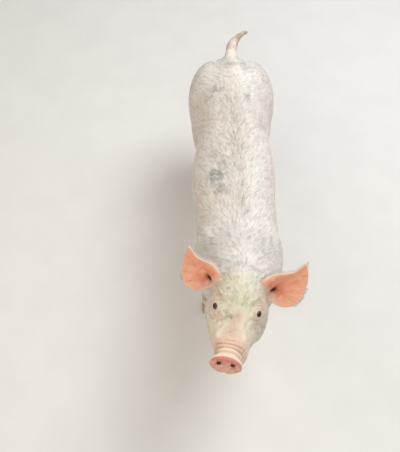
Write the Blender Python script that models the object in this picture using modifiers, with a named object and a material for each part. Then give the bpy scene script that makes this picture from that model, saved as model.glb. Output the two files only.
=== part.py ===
"""A young white pig, life-size and still, standing square with its head raised.

Metres, +Z up, the pig facing -Y, its left side at +X, the floor at z = 0. The flesh is blocked out
from lofts and ellipsoids, fused into one body, smoothed, and parted into named pieces by thin cuts.
Ears, eyes and claws are made on their own and set against that body.
"""

import math
from dataclasses import dataclass

import bmesh
import bpy
from mathutils import Matrix, Vector

# ---- driving dimensions ---------------------------------------------------------------------
GAP = 0.0003  # clearance between neighbouring pieces
CELL = 0.4  # size of the flat-sided cells that part the body
MERGE = 0.0001
SHARP = math.radians(42)  # edges bent more than this are shaded as edges
VOXEL = 0.0032  # grain of the fused body
FLESH_TRIANGLES = 26000  # the fused body before it is parted
PIECE_TRIANGLES = {  # each piece of flesh once parted
    "trunk": 1750,
    "neck": 420,
    "head": 1180,
    "lower_jaw": 190,
    "snout": 200,
    "tail": 190,
    "leg_upper": 230,
    "leg_lower": 190,
    "foot": 112,
}
SECTION_SIDES = 28  # points round a lofted section
SPAN_STEPS = 4  # rings between two named stations

HEAD_PITCH = math.radians(12.0)  # the bridge of the nose points this far above level
HEAD_YAW = math.radians(-12.0)  # and this far to the pig's right
DISC_CENTRE = Vector((-0.0018, -0.550, 0.494))  # before the head is turned
POLL_BACK = 0.185  # the head turns about an upright axis this far behind the disc
DISC_HALF_WIDTH = 0.0340
DISC_HALF_HEIGHT = 0.0238
DISC_DEPTH = 0.0130
DISC_TILT = math.radians(14.0)  # the rooting disc is flexed up from the bridge

NOSTRIL_OUT = 0.0145
NOSTRIL_UP = 0.0055
NOSTRIL_RADII = (0.0048, 0.0075, 0.0062)

EYE_RADIUS = 0.0115
EYE_PLACE = Vector((0.0480, 0.1170, 0.0330))  # the pupil, in the head's frame
EYE_GAZE = Vector((0.62, -0.42, 0.66))
EYE_STAND = 0.0032  # how far each ball stands out of the blocked head

EAR_LENGTH = {"L": 0.0935, "R": 0.0820}  # from the canal to the tip
EAR_THICKNESS = 0.0042
EAR_TROUGH = 0.0040  # how far outside the line from the canal to the tip it is deepest
EAR_CANALS = {"L": Vector((0.0692, 0.1800, 0.0435)), "R": Vector((-0.0735, 0.1800, 0.0435))}
EAR_POINTS = {"L": Vector((0.61, 0.41, 0.68)), "R": Vector((-0.62, 0.44, 0.65))}
EAR_FACES = {"L": Vector((0.20, -1.0, 0.42)), "R": Vector((-0.28, -1.0, 0.42))}

LEG_TOP_OUT = 0.074  # the top of each leg from the middle plane
LEG_FOOT_OUT = 0.061  # each foot from the middle plane
FORE_CREASE = 0.236  # where each leg is parted from the trunk, over the middle of the leg
HIND_CREASE = 0.258
CREASE_RISE = 0.78  # that cut rises outwards by this much for each metre
TAIL_ROOT = Vector((0.0, 0.4430, 0.4130))
TAIL_RISE = math.radians(28)
STRIDE = {"fore_L": -0.006, "fore_R": 0.018, "hind_L": 0.012, "hind_R": -0.008}

CLAW_LENGTH = 0.046
CLAW_HALF_WIDTH = 0.0115
CLAW_TOE_HEIGHT = 0.034
CLAW_HEEL_HEIGHT = 0.026
CLAW_SPLIT = 0.0130  # centre of each claw from the middle of the foot
DEWCLAW_LENGTH = 0.024
DEWCLAW_RADIUS = 0.0068


# ---- small tools ----------------------------------------------------------------------------
@dataclass
class Station:
    """One named cross-section of a loft."""

    centre: tuple  # x, y, z
    half_width: float
    up: float
    down: float
    square: float = 2.2  # superellipse exponent: 2 is an ellipse
    taper: float = 0.0  # how much narrower the top is than the bottom


def blend_stations(stations, steps):
    """Stations with smooth in-between ones, by a Catmull-Rom spline through every value."""

    def values(s):
        return [*s.centre, s.half_width, s.up, s.down, s.square, s.taper]

    rows = [values(s) for s in stations]
    ends = [rows[0], *rows, rows[-1]]
    made = []
    for i in range(1, len(ends) - 2):
        before, start, end, after = ends[i - 1 : i + 3]
        for k in range(steps):
            t = k / steps
            row = []
            for p0, p1, p2, p3 in zip(before, start, end, after):
                curve = 2 * p1 + (p2 - p0) * t
                curve += (2 * p0 - 5 * p1 + 4 * p2 - p3) * t**2
                curve += (3 * p1 - p0 - 3 * p2 + p3) * t**3
                row.append(curve / 2)
            made.append(row)
    made.append(rows[-1])
    return [Station(tuple(r[:3]), *r[3:]) for r in made]


def profile(named, t):
    """A smooth value between named (place, value) pairs."""
    for (t0, v0), (t1, v1) in zip(named, named[1:]):
        if t <= t1:
            s = (t - t0) / (t1 - t0)
            return v0 + (v1 - v0) * s * s * (3 - 2 * s)
    return named[-1][1]


def section_point(station, angle):
    """Width and height of a section's outline at an angle counted from the left side upwards."""
    c, s = math.cos(angle), math.sin(angle)
    power = 2 / station.square
    height = math.copysign(abs(s) ** power, s)
    width = math.copysign(abs(c) ** power, c) * (1 - station.taper * height)
    reach = station.up if s > 0 else station.down
    return width * station.half_width, height * reach


def new_object(name, bm):
    """A linked object from a bmesh, its faces pointing out."""
    bmesh.ops.recalc_face_normals(bm, faces=bm.faces)
    mesh = bpy.data.meshes.new(name)
    bm.to_mesh(mesh)
    bm.free()
    obj = bpy.data.objects.new(name, mesh)
    bpy.context.scene.collection.objects.link(obj)
    return obj


def skin_rings(bm, rings):
    """Faces between rings of points, with both ends closed."""
    made = [[bm.verts.new(p) for p in ring] for ring in rings]
    for lower, upper in zip(made, made[1:]):
        for k in range(len(lower)):
            n = (k + 1) % len(lower)
            bm.faces.new((lower[k], lower[n], upper[n], upper[k]))
    bm.faces.new(made[0])
    bm.faces.new(made[-1])


def loft(name, stations, steps=SPAN_STEPS, sides=SECTION_SIDES):
    """A closed skin over named stations. Sections stand square to the path, level from side to side."""
    rings = blend_stations(stations, steps)
    centres = [Vector(r.centre) for r in rings]
    side = Vector((1, 0, 0))
    outlines = []
    for i, ring in enumerate(rings):
        along = centres[min(i + 1, len(rings) - 1)] - centres[max(i - 1, 0)]
        upright = side.cross(along).normalized()
        if upright.z < 0 or (abs(upright.z) < 0.5 and upright.y > 0):
            upright.negate()
        outline = []
        for k in range(sides):
            width, height = section_point(ring, 2 * math.pi * k / sides)
            outline.append(centres[i] + side * width + upright * height)
        outlines.append(outline)
    bm = bmesh.new()
    skin_rings(bm, outlines)
    return new_object(name, bm)


def ellipsoid(name, centre, radii, turn=None, segments=24, rings=16):
    """An ellipsoid from a primitive sphere."""
    bm = bmesh.new()
    bmesh.ops.create_uvsphere(bm, u_segments=segments, v_segments=rings, radius=1.0)
    matrix = Matrix.Translation(centre) @ (turn or Matrix()) @ Matrix.Diagonal((*radii, 1))
    bm.transform(matrix)
    return new_object(name, bm)


def cell_box(name, matrix, size):
    """A box of a given size, centred in its matrix."""
    bm = bmesh.new()
    bmesh.ops.create_cube(bm, size=1.0)
    bm.transform(matrix @ Matrix.Diagonal((*size, 1)))
    return new_object(name, bm)


def apply_modifiers(obj):
    """Replaces the mesh by its evaluated one."""
    graph = bpy.context.evaluated_depsgraph_get()
    mesh = bpy.data.meshes.new_from_object(obj.evaluated_get(graph))
    obj.modifiers.clear()
    obj.data = mesh
    return obj


def boolean(obj, other, operation):
    """A Boolean, applied at once."""
    modifier = obj.modifiers.new("cut", "BOOLEAN")
    modifier.operation = operation
    modifier.object = other
    return apply_modifiers(obj)


def copy_of(obj, name):
    """A linked copy with its own mesh."""
    copy = obj.copy()
    copy.data = obj.data.copy()
    copy.name = name
    bpy.context.scene.collection.objects.link(copy)
    return copy


def remove(*objects):
    """Deletes helpers."""
    for obj in objects:
        bpy.data.objects.remove(obj)


def grown(obj, by):
    """A copy swollen along its normals."""
    copy = copy_of(obj, obj.name + "_grown")
    normals = [v.normal.copy() for v in copy.data.vertices]
    for vertex, normal in zip(copy.data.vertices, normals):
        vertex.co += normal * by
    return copy


def make_room(flesh, inset):
    """Cuts a bed for a piece set into another, a gap larger all round."""
    cutter = grown(inset, GAP)
    boolean(flesh, cutter, "DIFFERENCE")
    remove(cutter)


# ---- the head -------------------------------------------------------------------------------
def head_matrix():
    """Head frame to world: x to the left, y back along the bridge, z up from it, origin at the disc."""
    pitch = Matrix.Translation(DISC_CENTRE) @ Matrix.Rotation(-HEAD_PITCH, 4, "X")
    pivot = DISC_CENTRE + Vector((0, POLL_BACK, 0))
    yaw = Matrix.Translation(pivot) @ Matrix.Rotation(HEAD_YAW, 4, "Z") @ Matrix.Translation(-pivot)
    return yaw @ pitch


def blocked_disc():
    """The rooting disc: a flattened drum, wider than it is high, with rounded rims."""
    bm = bmesh.new()
    bmesh.ops.create_cone(bm, cap_ends=True, segments=36, radius1=1.0, radius2=1.0, depth=1.0)
    bm.transform(Matrix.Rotation(math.pi / 2, 4, "X"))
    bm.transform(Matrix.Diagonal((DISC_HALF_WIDTH, DISC_DEPTH, DISC_HALF_HEIGHT, 1)))
    bm.transform(Matrix.Translation((0, DISC_DEPTH / 2, 0)))
    rims = [e for e in bm.edges if abs(e.verts[0].co.y - e.verts[1].co.y) < 1e-6]
    bmesh.ops.bevel(bm, geom=rims, offset=0.0035, segments=3, affect="EDGES", profile=0.6)
    bm.transform(Matrix.Rotation(-DISC_TILT, 4, "X"))
    return new_object("disc_block", bm)


def blocked_head():
    """Skull, muzzle, cheeks, brows and disc, in the head's frame."""
    skull = loft(
        "skull",
        [
            Station((0, 0.006, 0.000), 0.0285, 0.0210, 0.0235, 2.3, 0.06),  # behind the disc
            Station((0, 0.019, -0.002), 0.0258, 0.0255, 0.0340, 2.2, 0.12),  # waist behind the disc
            Station((0, 0.033, -0.005), 0.0285, 0.0282, 0.0400, 2.2, 0.12),  # snout
            Station((0, 0.050, -0.008), 0.0370, 0.0325, 0.0460, 2.2, 0.11),  # muzzle
            Station((-0.0012, 0.078, -0.012), 0.0446, 0.0400, 0.0560, 2.2, 0.10),  # front of the cheeks
            Station((-0.0015, 0.108, -0.014), 0.0572, 0.0530, 0.0660, 2.2, 0.12),  # below the eyes
            Station((0, 0.138, -0.012), 0.0700, 0.0680, 0.0760, 2.3, 0.16),  # jowls
            Station((0, 0.165, -0.004), 0.0690, 0.0770, 0.0800, 2.2, 0.14),  # forehead
            Station((0, 0.190, 0.006), 0.0600, 0.0740, 0.0780, 2.1, 0.12),  # poll
            Station((0, 0.214, 0.004), 0.0550, 0.0600, 0.0680, 2.1, 0.06),  # back of the skull
        ],
    )
    parts = [skull, blocked_disc()]
    lean = Matrix.Rotation(math.radians(-25), 4, "X")
    for side in (1, -1):
        parts += [
            ellipsoid("cheek", (side * 0.035, 0.147, -0.040), (0.034, 0.050, 0.046)),
            ellipsoid("brow", (side * 0.038, 0.128, 0.017), (0.020, 0.027, 0.025), lean),
            ellipsoid("ear_root", (side * 0.047, 0.202, 0.029), (0.025, 0.021, 0.030)),
            ellipsoid("lip", (side * 0.025, 0.054, -0.023), (0.0160, 0.029, 0.019)),
        ]
    parts.append(ellipsoid("chin", (0, 0.036, -0.034), (0.024, 0.026, 0.014)))
    matrix = head_matrix()
    for obj in parts:
        obj.data.transform(matrix)
    return parts


# ---- trunk, neck, tail and legs -------------------------------------------------------------
def blocked_trunk():
    """Barrel and neck, hams and shoulders."""
    barrel = loft(
        "barrel",
        [
            Station((0, 0.436, 0.392), 0.032, 0.024, 0.030),  # root of the tail
            Station((0, 0.412, 0.368), 0.082, 0.066, 0.088),  # buttocks
            Station((0, 0.362, 0.350), 0.108, 0.103, 0.105),  # croup
            Station((0, 0.285, 0.342), 0.111, 0.114, 0.102),  # hips
            Station((0, 0.215, 0.344), 0.105, 0.118, 0.102, 2.2),  # loin
            Station((0, 0.150, 0.344), 0.0985, 0.119, 0.103, 2.2),  # flank
            Station((-0.0010, 0.050, 0.338), 0.1135, 0.121, 0.116, 2.2),  # belly
            Station((-0.0015, -0.040, 0.334), 0.1085, 0.119, 0.114, 2.2),  # ribs
            Station((0.003, -0.120, 0.334), 0.1055, 0.113, 0.114, 2.2),  # girth
            Station((0.0045, -0.195, 0.340), 0.104, 0.110, 0.120, 2.2),  # withers
            Station((0.006, -0.245, 0.362), 0.102, 0.104, 0.116, 2.2),  # base of the neck
            Station((0.005, -0.285, 0.392), 0.094, 0.098, 0.106, 2.2),  # neck
            Station((0.003, -0.322, 0.424), 0.083, 0.088, 0.096, 2.2),  # nape
            Station((0, -0.355, 0.448), 0.066, 0.066, 0.078, 2.2),  # inside the skull
        ],
    )
    parts = [barrel]
    for side in (1, -1):
        parts += [
            ellipsoid("ham", (side * 0.056, 0.322, 0.326), (0.071, 0.120, 0.118)),
            ellipsoid("stifle", (side * 0.072, 0.238, 0.268), (0.036, 0.060, 0.074)),
            ellipsoid("shoulder", (0.0035 + side * 0.061, -0.208, 0.322), (0.053, 0.092, 0.116)),
            ellipsoid("brisket", (side * 0.032, -0.240, 0.272), (0.050, 0.056, 0.056)),
        ]
    return parts


def tail():
    """A short tapering tail, carried back and a little up, its tip bent to the left."""
    return loft(
        "tail_block",
        [
            Station((0.000, 0.410, 0.398), 0.0200, 0.0190, 0.0190, 2.0),  # inside the croup
            Station((0.000, 0.440, 0.412), 0.0185, 0.0175, 0.0175, 2.0),  # root
            Station((0.006, 0.464, 0.425), 0.0158, 0.0150, 0.0150, 2.0),
            Station((0.018, 0.480, 0.431), 0.0125, 0.0120, 0.0120, 2.0),  # middle
            Station((0.031, 0.492, 0.434), 0.0104, 0.0102, 0.0102, 2.0),
            Station((0.042, 0.499, 0.433), 0.0083, 0.0083, 0.0083, 2.0),
            Station((0.051, 0.503, 0.430), 0.0050, 0.0050, 0.0050, 2.0),  # tip
        ],
    )


FORELEG = (  # name, y, z, half width, half depth front to back
    ("upper arm", -0.205, 0.300, 0.040, 0.072),
    ("elbow", -0.190, 0.246, 0.037, 0.058),
    ("forearm", -0.186, 0.202, 0.031, 0.041),
    ("above the knee", -0.186, 0.160, 0.0250, 0.0295),
    ("knee", -0.187, 0.130, 0.0250, 0.0265),
    ("cannon", -0.185, 0.098, 0.0200, 0.0210),
    ("fetlock", -0.187, 0.068, 0.0230, 0.0230),
    ("pastern", -0.194, 0.046, 0.0225, 0.0215),
    ("coronet", -0.201, 0.023, 0.0232, 0.0240),
)
HINDLEG = (
    ("thigh", 0.268, 0.300, 0.046, 0.092),
    ("stifle", 0.258, 0.252, 0.040, 0.072),
    ("gaskin", 0.280, 0.208, 0.031, 0.048),
    ("above the hock", 0.312, 0.170, 0.0225, 0.0310),
    ("hock", 0.326, 0.144, 0.0230, 0.0290),
    ("below the hock", 0.325, 0.116, 0.0205, 0.0240),
    ("cannon", 0.318, 0.090, 0.0195, 0.0205),
    ("fetlock", 0.310, 0.066, 0.0225, 0.0230),
    ("pastern", 0.301, 0.045, 0.0220, 0.0215),
    ("coronet", 0.293, 0.023, 0.0232, 0.0240),
)


def stride_share(rows, z):
    """How much of the stride a height of the leg takes: none at its top, all at the foot."""
    return min(1.0, max(0.0, (rows[0][2] - z) / (rows[0][2] - rows[-1][2])))


def leg_out(rows, z):
    """How far out a height of the leg is."""
    return LEG_TOP_OUT + (LEG_FOOT_OUT - LEG_TOP_OUT) * stride_share(rows, z)


def blocked_leg(rows, side, shift):
    """A leg from its rows, moved along by the stride towards the foot."""
    stations = []
    for _, y, z, half_width, half_depth in rows:
        centre = (side * leg_out(rows, z), y + shift * stride_share(rows, z), z)
        stations.append(Station(centre, half_width, half_depth, half_depth))
    return loft("leg_block", stations)


# ---- fusing and parting ---------------------------------------------------------------------
def softness(point, to_head):
    """How much the fused surface is smoothed: less on the muzzle, the tail and the feet."""
    local = to_head @ point
    muzzle = min(1.0, max(0.08, (local.y - 0.005) / 0.15)) if point.y < -0.33 else 1.0
    feet = min(1.0, max(0.12, (point.z - 0.03) / 0.17))
    rear = min(1.0, max(0.20, 1 - (point.y - 0.425) / 0.04))
    return min(muzzle, feet, rear)


def mend(obj):
    """Merges the tiny edges that a cut leaves."""
    bm = bmesh.new()
    bm.from_mesh(obj.data)
    bmesh.ops.remove_doubles(bm, verts=bm.verts, dist=MERGE)
    bmesh.ops.dissolve_degenerate(bm, edges=bm.edges, dist=MERGE)
    bmesh.ops.triangulate(bm, faces=bm.faces)
    bm.to_mesh(obj.data)
    bm.free()


def thin(obj, triangles):
    """Reduces a piece to about so many triangles."""
    mend(obj)
    now = sum(len(face.vertices) - 2 for face in obj.data.polygons)
    if now > triangles:
        modifier = obj.modifiers.new("thin", "DECIMATE")
        modifier.ratio = triangles / now
        apply_modifiers(obj)
    return obj


def budget(name):
    """The triangles allowed for a piece of flesh."""
    if name in PIECE_TRIANGLES:
        return PIECE_TRIANGLES[name]
    if "foot" in name:
        return PIECE_TRIANGLES["foot"]
    return PIECE_TRIANGLES["leg_upper" if "upper" in name else "leg_lower"]


def fuse(parts):
    """Joins overlapping blocks into one smooth body."""
    bm = bmesh.new()
    for obj in parts:
        bm.from_mesh(obj.data)
    body = new_object("trunk", bm)
    remove(*parts)
    remesh = body.modifiers.new("fuse", "REMESH")
    remesh.mode = "VOXEL"
    remesh.voxel_size = VOXEL
    apply_modifiers(body)
    group = body.vertex_groups.new(name="soft")
    to_head = head_matrix().inverted()
    for vertex in body.data.vertices:
        group.add([vertex.index], softness(vertex.co, to_head), "REPLACE")
    smooth = body.modifiers.new("smooth", "SMOOTH")
    smooth.factor = 0.5
    smooth.iterations = 44
    smooth.vertex_group = "soft"
    apply_modifiers(body)
    body.vertex_groups.clear()
    return thin(body, FLESH_TRIANGLES)


def beyond(point, normal):
    """A cell maker: everything on the side of a plane that its normal points to."""
    facing = Vector(normal).normalized()
    turn = facing.to_track_quat("Z", "Y").to_matrix().to_4x4()

    def make(grow):
        centre = Vector(point) + facing * (CELL / 2 - grow)
        return cell_box("cell", Matrix.Translation(centre) @ turn, (CELL, CELL, CELL))

    return make


def within(matrix, low, high):
    """A cell maker: a box between two corners of a frame."""
    low, high = Vector(low), Vector(high)

    def make(grow):
        size = high - low + Vector((2 * grow, 2 * grow, 2 * grow))
        return cell_box("cell", matrix @ Matrix.Translation((low + high) / 2), size)

    return make


def part_off(body, name, make):
    """Takes what lies in a cell off the body as its own piece, with a gap all round."""
    inner, outer = make(-GAP / 2), make(GAP / 2)
    piece = boolean(copy_of(body, name), inner, "INTERSECT")
    boolean(body, outer, "DIFFERENCE")
    remove(inner, outer)
    return piece


def part_head(body, to_world):
    """Snout, lower jaw, head and neck, in order from the disc back. Returns them by name."""
    turn = to_world.to_3x3()
    tilt = Matrix.Rotation(-DISC_TILT, 3, "X")
    behind_disc = to_world @ (tilt @ Vector((0, DISC_DEPTH + 0.002, 0)))
    made = {"snout": part_off(body, "snout", beyond(behind_disc, turn @ tilt @ Vector((0, -1, 0))))}
    jaw_cell = within(to_world, (-0.2, -0.1, -0.3), (0.2, 0.104, -0.0335))
    made["lower_jaw"] = part_off(body, "lower_jaw", jaw_cell)
    nape = to_world @ Vector((0, 0.192, 0))
    made["head"] = part_off(body, "head", beyond(nape, turn @ Vector((0, -1, 0.30))))
    made["neck"] = part_off(body, "neck", beyond((0, -0.262, 0.385), (0, -1, 0.62)))
    return made


def pierce_nostrils(snout, to_world):
    """Two blind nostrils in the disc."""
    tilt = Matrix.Rotation(-DISC_TILT, 4, "X")
    for side in (1, -1):
        place = to_world @ tilt @ Matrix.Translation((side * NOSTRIL_OUT, 0.0005, NOSTRIL_UP))
        hole = ellipsoid("hole", (0, 0, 0), NOSTRIL_RADII, segments=8, rings=6)
        hole.data.transform(place)
        boolean(snout, hole, "DIFFERENCE")
        remove(hole)


def part_leg(body, rows, side, tag):
    """Foot, lower leg and upper leg of one leg, in order from the floor up."""
    fore = rows is FORELEG
    first, last = ("foreleg", "forefoot") if fore else ("hindleg", "hindfoot")
    middle = rows[2][1]
    joint = rows[5][2] if fore else rows[6][2]
    crease = Matrix.Translation((side * LEG_TOP_OUT, middle, FORE_CREASE if fore else HIND_CREASE))
    crease[2][0] = side * CREASE_RISE
    cuts = (
        (f"{last}_{tag}", Matrix.Translation((side * LEG_TOP_OUT, middle, joint))),
        (f"{first}_lower_{tag}", Matrix.Translation((side * LEG_TOP_OUT, middle, rows[3][2]))),
        (f"{first}_upper_{tag}", crease),
    )
    made = {}
    for name, frame in cuts:
        made[name] = part_off(body, name, within(frame, (-0.068, -0.14, -0.24), (0.068, 0.16, 0)))
    return made


# ---- ears, eyes and claws -------------------------------------------------------------------
EAR_ROWS = (  # share of the length, inner margin, outer margin, depth of the hollow
    (-0.26, -0.0090, 0.0140, 0.0040),  # under the canal, in the side of the head
    (-0.20, -0.0260, 0.0360, 0.0120),
    (-0.13, -0.0300, 0.0480, 0.0190),
    (0.00, -0.0345, 0.0575, 0.0240),  # across the canal
    (0.13, -0.0360, 0.0605, 0.0225),
    (0.27, -0.0325, 0.0590, 0.0190),
    (0.40, -0.0235, 0.0550, 0.0150),
    (0.53, -0.0125, 0.0490, 0.0120),
    (0.66, -0.0045, 0.0410, 0.0090),
    (0.78, -0.0025, 0.0315, 0.0060),
    (0.90, -0.0016, 0.0175, 0.0030),
    (1.00, -0.0010, 0.0020, 0.0010),  # tip
)
EAR_SWELL = ((-0.26, 0.0015), (0.05, 0.0095), (0.42, 0.0), (1.0, 0.0))  # thicker near the root
EAR_SPANS = 8  # faces from one margin to the other


def hollow(share, deepest):
    """How hollow an ear is from its inner margin, at 0, to its outer one, at 1."""
    if share < deepest:
        near = share / deepest
        return (near * near * (3 - 2 * near)) ** 1.5
    return math.cos(math.pi / 2 * (share - deepest) / (1 - deepest)) ** 0.8


def ear(tag, to_world):
    """A pointed leaf, hollow in front, whose inner margin sweeps in to the tip."""
    side = 1 if tag == "L" else -1
    along = EAR_POINTS[tag].normalized()
    face = EAR_FACES[tag]
    face = (face - along * face.dot(along)).normalized()
    across = along.cross(face) * side  # towards the outer margin
    grid = []
    for share, inner, outer, depth in EAR_ROWS:
        deepest = max(0.40, (EAR_TROUGH - inner) / (outer - inner))
        row = []
        for k in range(EAR_SPANS + 1):
            w = k / EAR_SPANS
            place = across * (inner + (outer - inner) * w) - face * depth * hollow(w, deepest)
            row.append(EAR_CANALS[tag] + along * share * EAR_LENGTH[tag] + place)
        grid.append(row)
    bm = bmesh.new()
    rings = []
    for i, row in enumerate(grid):
        before, after = grid[max(i - 1, 0)], grid[min(i + 1, len(grid) - 1)]
        back = []
        for k, place in enumerate(row):
            run = row[min(k + 1, EAR_SPANS)] - row[max(k - 1, 0)]
            out = run.cross(after[k] - before[k]).normalized() * side
            middle = math.sin(math.pi * k / EAR_SPANS)
            thick = EAR_THICKNESS * (0.7 + 0.3 * middle) * (1 - 0.3 * i / len(grid))
            thick += profile(EAR_SWELL, EAR_ROWS[i][0]) * middle
            back.append(place + out * thick)
        rings.append([to_world @ p for p in row + back[::-1]])
    skin_rings(bm, rings)
    bmesh.ops.recalc_face_normals(bm, faces=bm.faces)
    return new_object(f"ear_{tag}", bm)


def eyeball(tag, to_world, head):
    """A ball set into the head below the brow, standing out of its surface a little."""
    side = 1 if tag == "L" else -1
    gaze = to_world.to_3x3() @ Vector((side * EYE_GAZE.x, EYE_GAZE.y, EYE_GAZE.z)).normalized()
    place = to_world @ Vector((side * EYE_PLACE.x, EYE_PLACE.y, EYE_PLACE.z))
    _, surface, _, _ = head.ray_cast(place + gaze * 0.05, -gaze)
    centre = surface - gaze * (EYE_RADIUS - EYE_STAND)
    radii = (EYE_RADIUS, EYE_RADIUS, EYE_RADIUS)
    return ellipsoid(f"eye_{tag}", centre, radii, segments=11, rings=8)


def claw(name, centre, side, turn_out):
    """One main claw: a flat sole at the floor, a pointed toe, and a wall that leans back."""
    levels = ((0.0, 1.0, 0.0), (0.50, 1.05, 0.0045), (1.0, 0.90, 0.0100))
    points = 14
    rings = []
    for height, scale, back in levels:
        ring = []
        for k in range(points):
            angle = 2 * math.pi * k / points
            reach = math.cos(angle)
            toe = max(0.0, reach)
            width = math.sin(angle) * (1 - 0.35 * toe * toe) * CLAW_HALF_WIDTH * scale
            length = -reach * CLAW_LENGTH / 2 * (scale if reach < 0 else 1)
            shift = back * (0.3 + 0.7 * max(0.0, reach))
            share = 0.5 + 0.5 * reach
            top = CLAW_HEEL_HEIGHT + (CLAW_TOE_HEIGHT - CLAW_HEEL_HEIGHT) * share
            ring.append(Vector((width, length + shift, top * height)))
        rings.append(ring)
    bm = bmesh.new()
    skin_rings(bm, rings)
    turn = Matrix.Rotation(-side * turn_out, 4, "Z")
    bm.transform(Matrix.Translation(centre) @ turn)
    return new_object(name, bm)


def dewclaw(name, centre, side):
    """A small blunt horn behind the pastern, pointing down and back."""
    axis = Vector((side * 0.25, 0.55, -0.80)).normalized()
    turn = axis.to_track_quat("Z", "Y").to_matrix().to_4x4()
    sides = 7
    rings = []
    for share, radius in ((0.0, 0.85), (0.45, 1.0), (1.0, 0.35)):
        ring = []
        for k in range(sides):
            angle = 2 * math.pi * k / sides
            x, y = math.cos(angle) * DEWCLAW_RADIUS * radius, math.sin(angle) * DEWCLAW_RADIUS * radius
            ring.append(Vector((x, y * 0.85, share * DEWCLAW_LENGTH)))
        rings.append(ring)
    bm = bmesh.new()
    skin_rings(bm, rings)
    bm.transform(Matrix.Translation(centre) @ turn)
    return new_object(name, bm)


def shoe(foot, rows, side, tag, shift):
    """Sets two main claws and two dewclaws into one foot."""
    fore = rows is FORELEG
    end = "fore" if fore else "hind"
    x, y = side * LEG_FOOT_OUT, rows[-1][1] + shift
    pastern_y = rows[-3][1] + shift * stride_share(rows, rows[-3][2])
    made = []
    for hand, place in (("inner", -side), ("outer", side)):
        centre = (x + place * CLAW_SPLIT, y - 0.010, 0.0)
        made.append(claw(f"claw_{end}_{hand}_{tag}", centre, place, math.radians(4)))
        centre = (x + place * 0.0125, pastern_y + 0.0150, 0.0570)
        made.append(dewclaw(f"dewclaw_{end}_{hand}_{tag}", centre, place))
    for piece in made:
        make_room(foot, piece)
    return made


# ---- finishes and assembly ------------------------------------------------------------------
FINISHES = {  # colour, roughness
    "skin_white": ((0.80, 0.68, 0.58), 0.72),
    "skin_pink": ((0.72, 0.38, 0.31), 0.62),
    "horn": ((0.42, 0.33, 0.24), 0.45),
    "eye_wet": ((0.05, 0.03, 0.02), 0.12),
}


def finish_of(name):
    """The finish of a node."""
    if "claw" in name:
        return "horn"
    if name.startswith("eye"):
        return "eye_wet"
    if name.startswith(("ear", "snout")):
        return "skin_pink"
    return "skin_white"


def material(name):
    """A plain Principled material."""
    found = bpy.data.materials.get(name)
    if found:
        return found
    colour, roughness = FINISHES[name]
    made = bpy.data.materials.new(name)
    made.use_nodes = True
    shader = made.node_tree.nodes["Principled BSDF"]
    shader.inputs["Base Color"].default_value = (*colour, 1.0)
    shader.inputs["Roughness"].default_value = roughness
    shader.inputs["Metallic"].default_value = 0.0
    return made


def collect(objects):
    """Moves the pieces to their collection, centred over the floor, shaded smooth."""
    home = bpy.data.collections.new("young_pig")
    bpy.context.scene.collection.children.link(home)
    corners = [v.co for obj in objects for v in obj.data.vertices]
    low = Vector([min(p[i] for p in corners) for i in range(3)])
    high = Vector([max(p[i] for p in corners) for i in range(3)])
    shift = Vector((-(low.x + high.x) / 2, -(low.y + high.y) / 2, -low.z))
    for obj in objects:
        obj.data.transform(Matrix.Translation(shift))
        bpy.context.scene.collection.objects.unlink(obj)
        home.objects.link(obj)
        obj.data.materials.clear()
        obj.data.materials.append(material(finish_of(obj.name)))
        obj.data.polygons.foreach_set("use_smooth", [True] * len(obj.data.polygons))
        obj.data.set_sharp_from_angle(angle=SHARP)


def main():
    for obj in list(bpy.data.objects):
        bpy.data.objects.remove(obj)
    to_world = head_matrix()
    legs = []
    for side, tag in ((1, "L"), (-1, "R")):
        legs.append((FORELEG, side, tag, STRIDE["fore_" + tag]))
        legs.append((HINDLEG, side, tag, STRIDE["hind_" + tag]))
    blocks = [*blocked_head(), *blocked_trunk(), tail()]
    for rows, side, _, shift in legs:
        blocks.append(blocked_leg(rows, side, shift))
    body = fuse(blocks)

    pieces = part_head(body, to_world)
    root = Matrix.Translation(TAIL_ROOT) @ Matrix.Rotation(TAIL_RISE, 4, "X")
    pieces["tail"] = part_off(body, "tail", within(root, (-0.05, 0, -0.03), (0.1, 0.2, 0.1)))
    for rows, side, tag, shift in legs:
        pieces.update(part_leg(body, rows, side, tag))
    for name, obj in [("trunk", body), *pieces.items()]:
        thin(obj, budget(name))
    pierce_nostrils(pieces["snout"], to_world)
    for rows, side, tag, shift in legs:
        foot = pieces[("forefoot_" if rows is FORELEG else "hindfoot_") + tag]
        for horn in shoe(foot, rows, side, tag, shift):
            pieces[horn.name] = horn
    for tag in ("L", "R"):
        pieces[f"ear_{tag}"] = ear(tag, to_world)
        for name in ("head", "neck"):
            make_room(pieces[f"ear_{tag}"], pieces[name])
        pieces[f"eye_{tag}"] = eyeball(tag, to_world, pieces["head"])
        make_room(pieces["head"], pieces[f"eye_{tag}"])
    collect([body, *pieces.values()])


main()
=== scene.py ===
"""A young white pig standing still: one skin over the flesh, its coat of bristles, wet eyes and horn claws.

Everything is in metres in the frame of the solids: the snout points to -Y, the tail to +Y and Z is up.
"""

import sys
import logging
import math
from dataclasses import dataclass, field
from enum import Enum

import bmesh
import bpy
import numpy as np
from mathutils import Matrix, Vector
from mathutils.bvhtree import BVHTree
from mathutils.kdtree import KDTree


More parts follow.
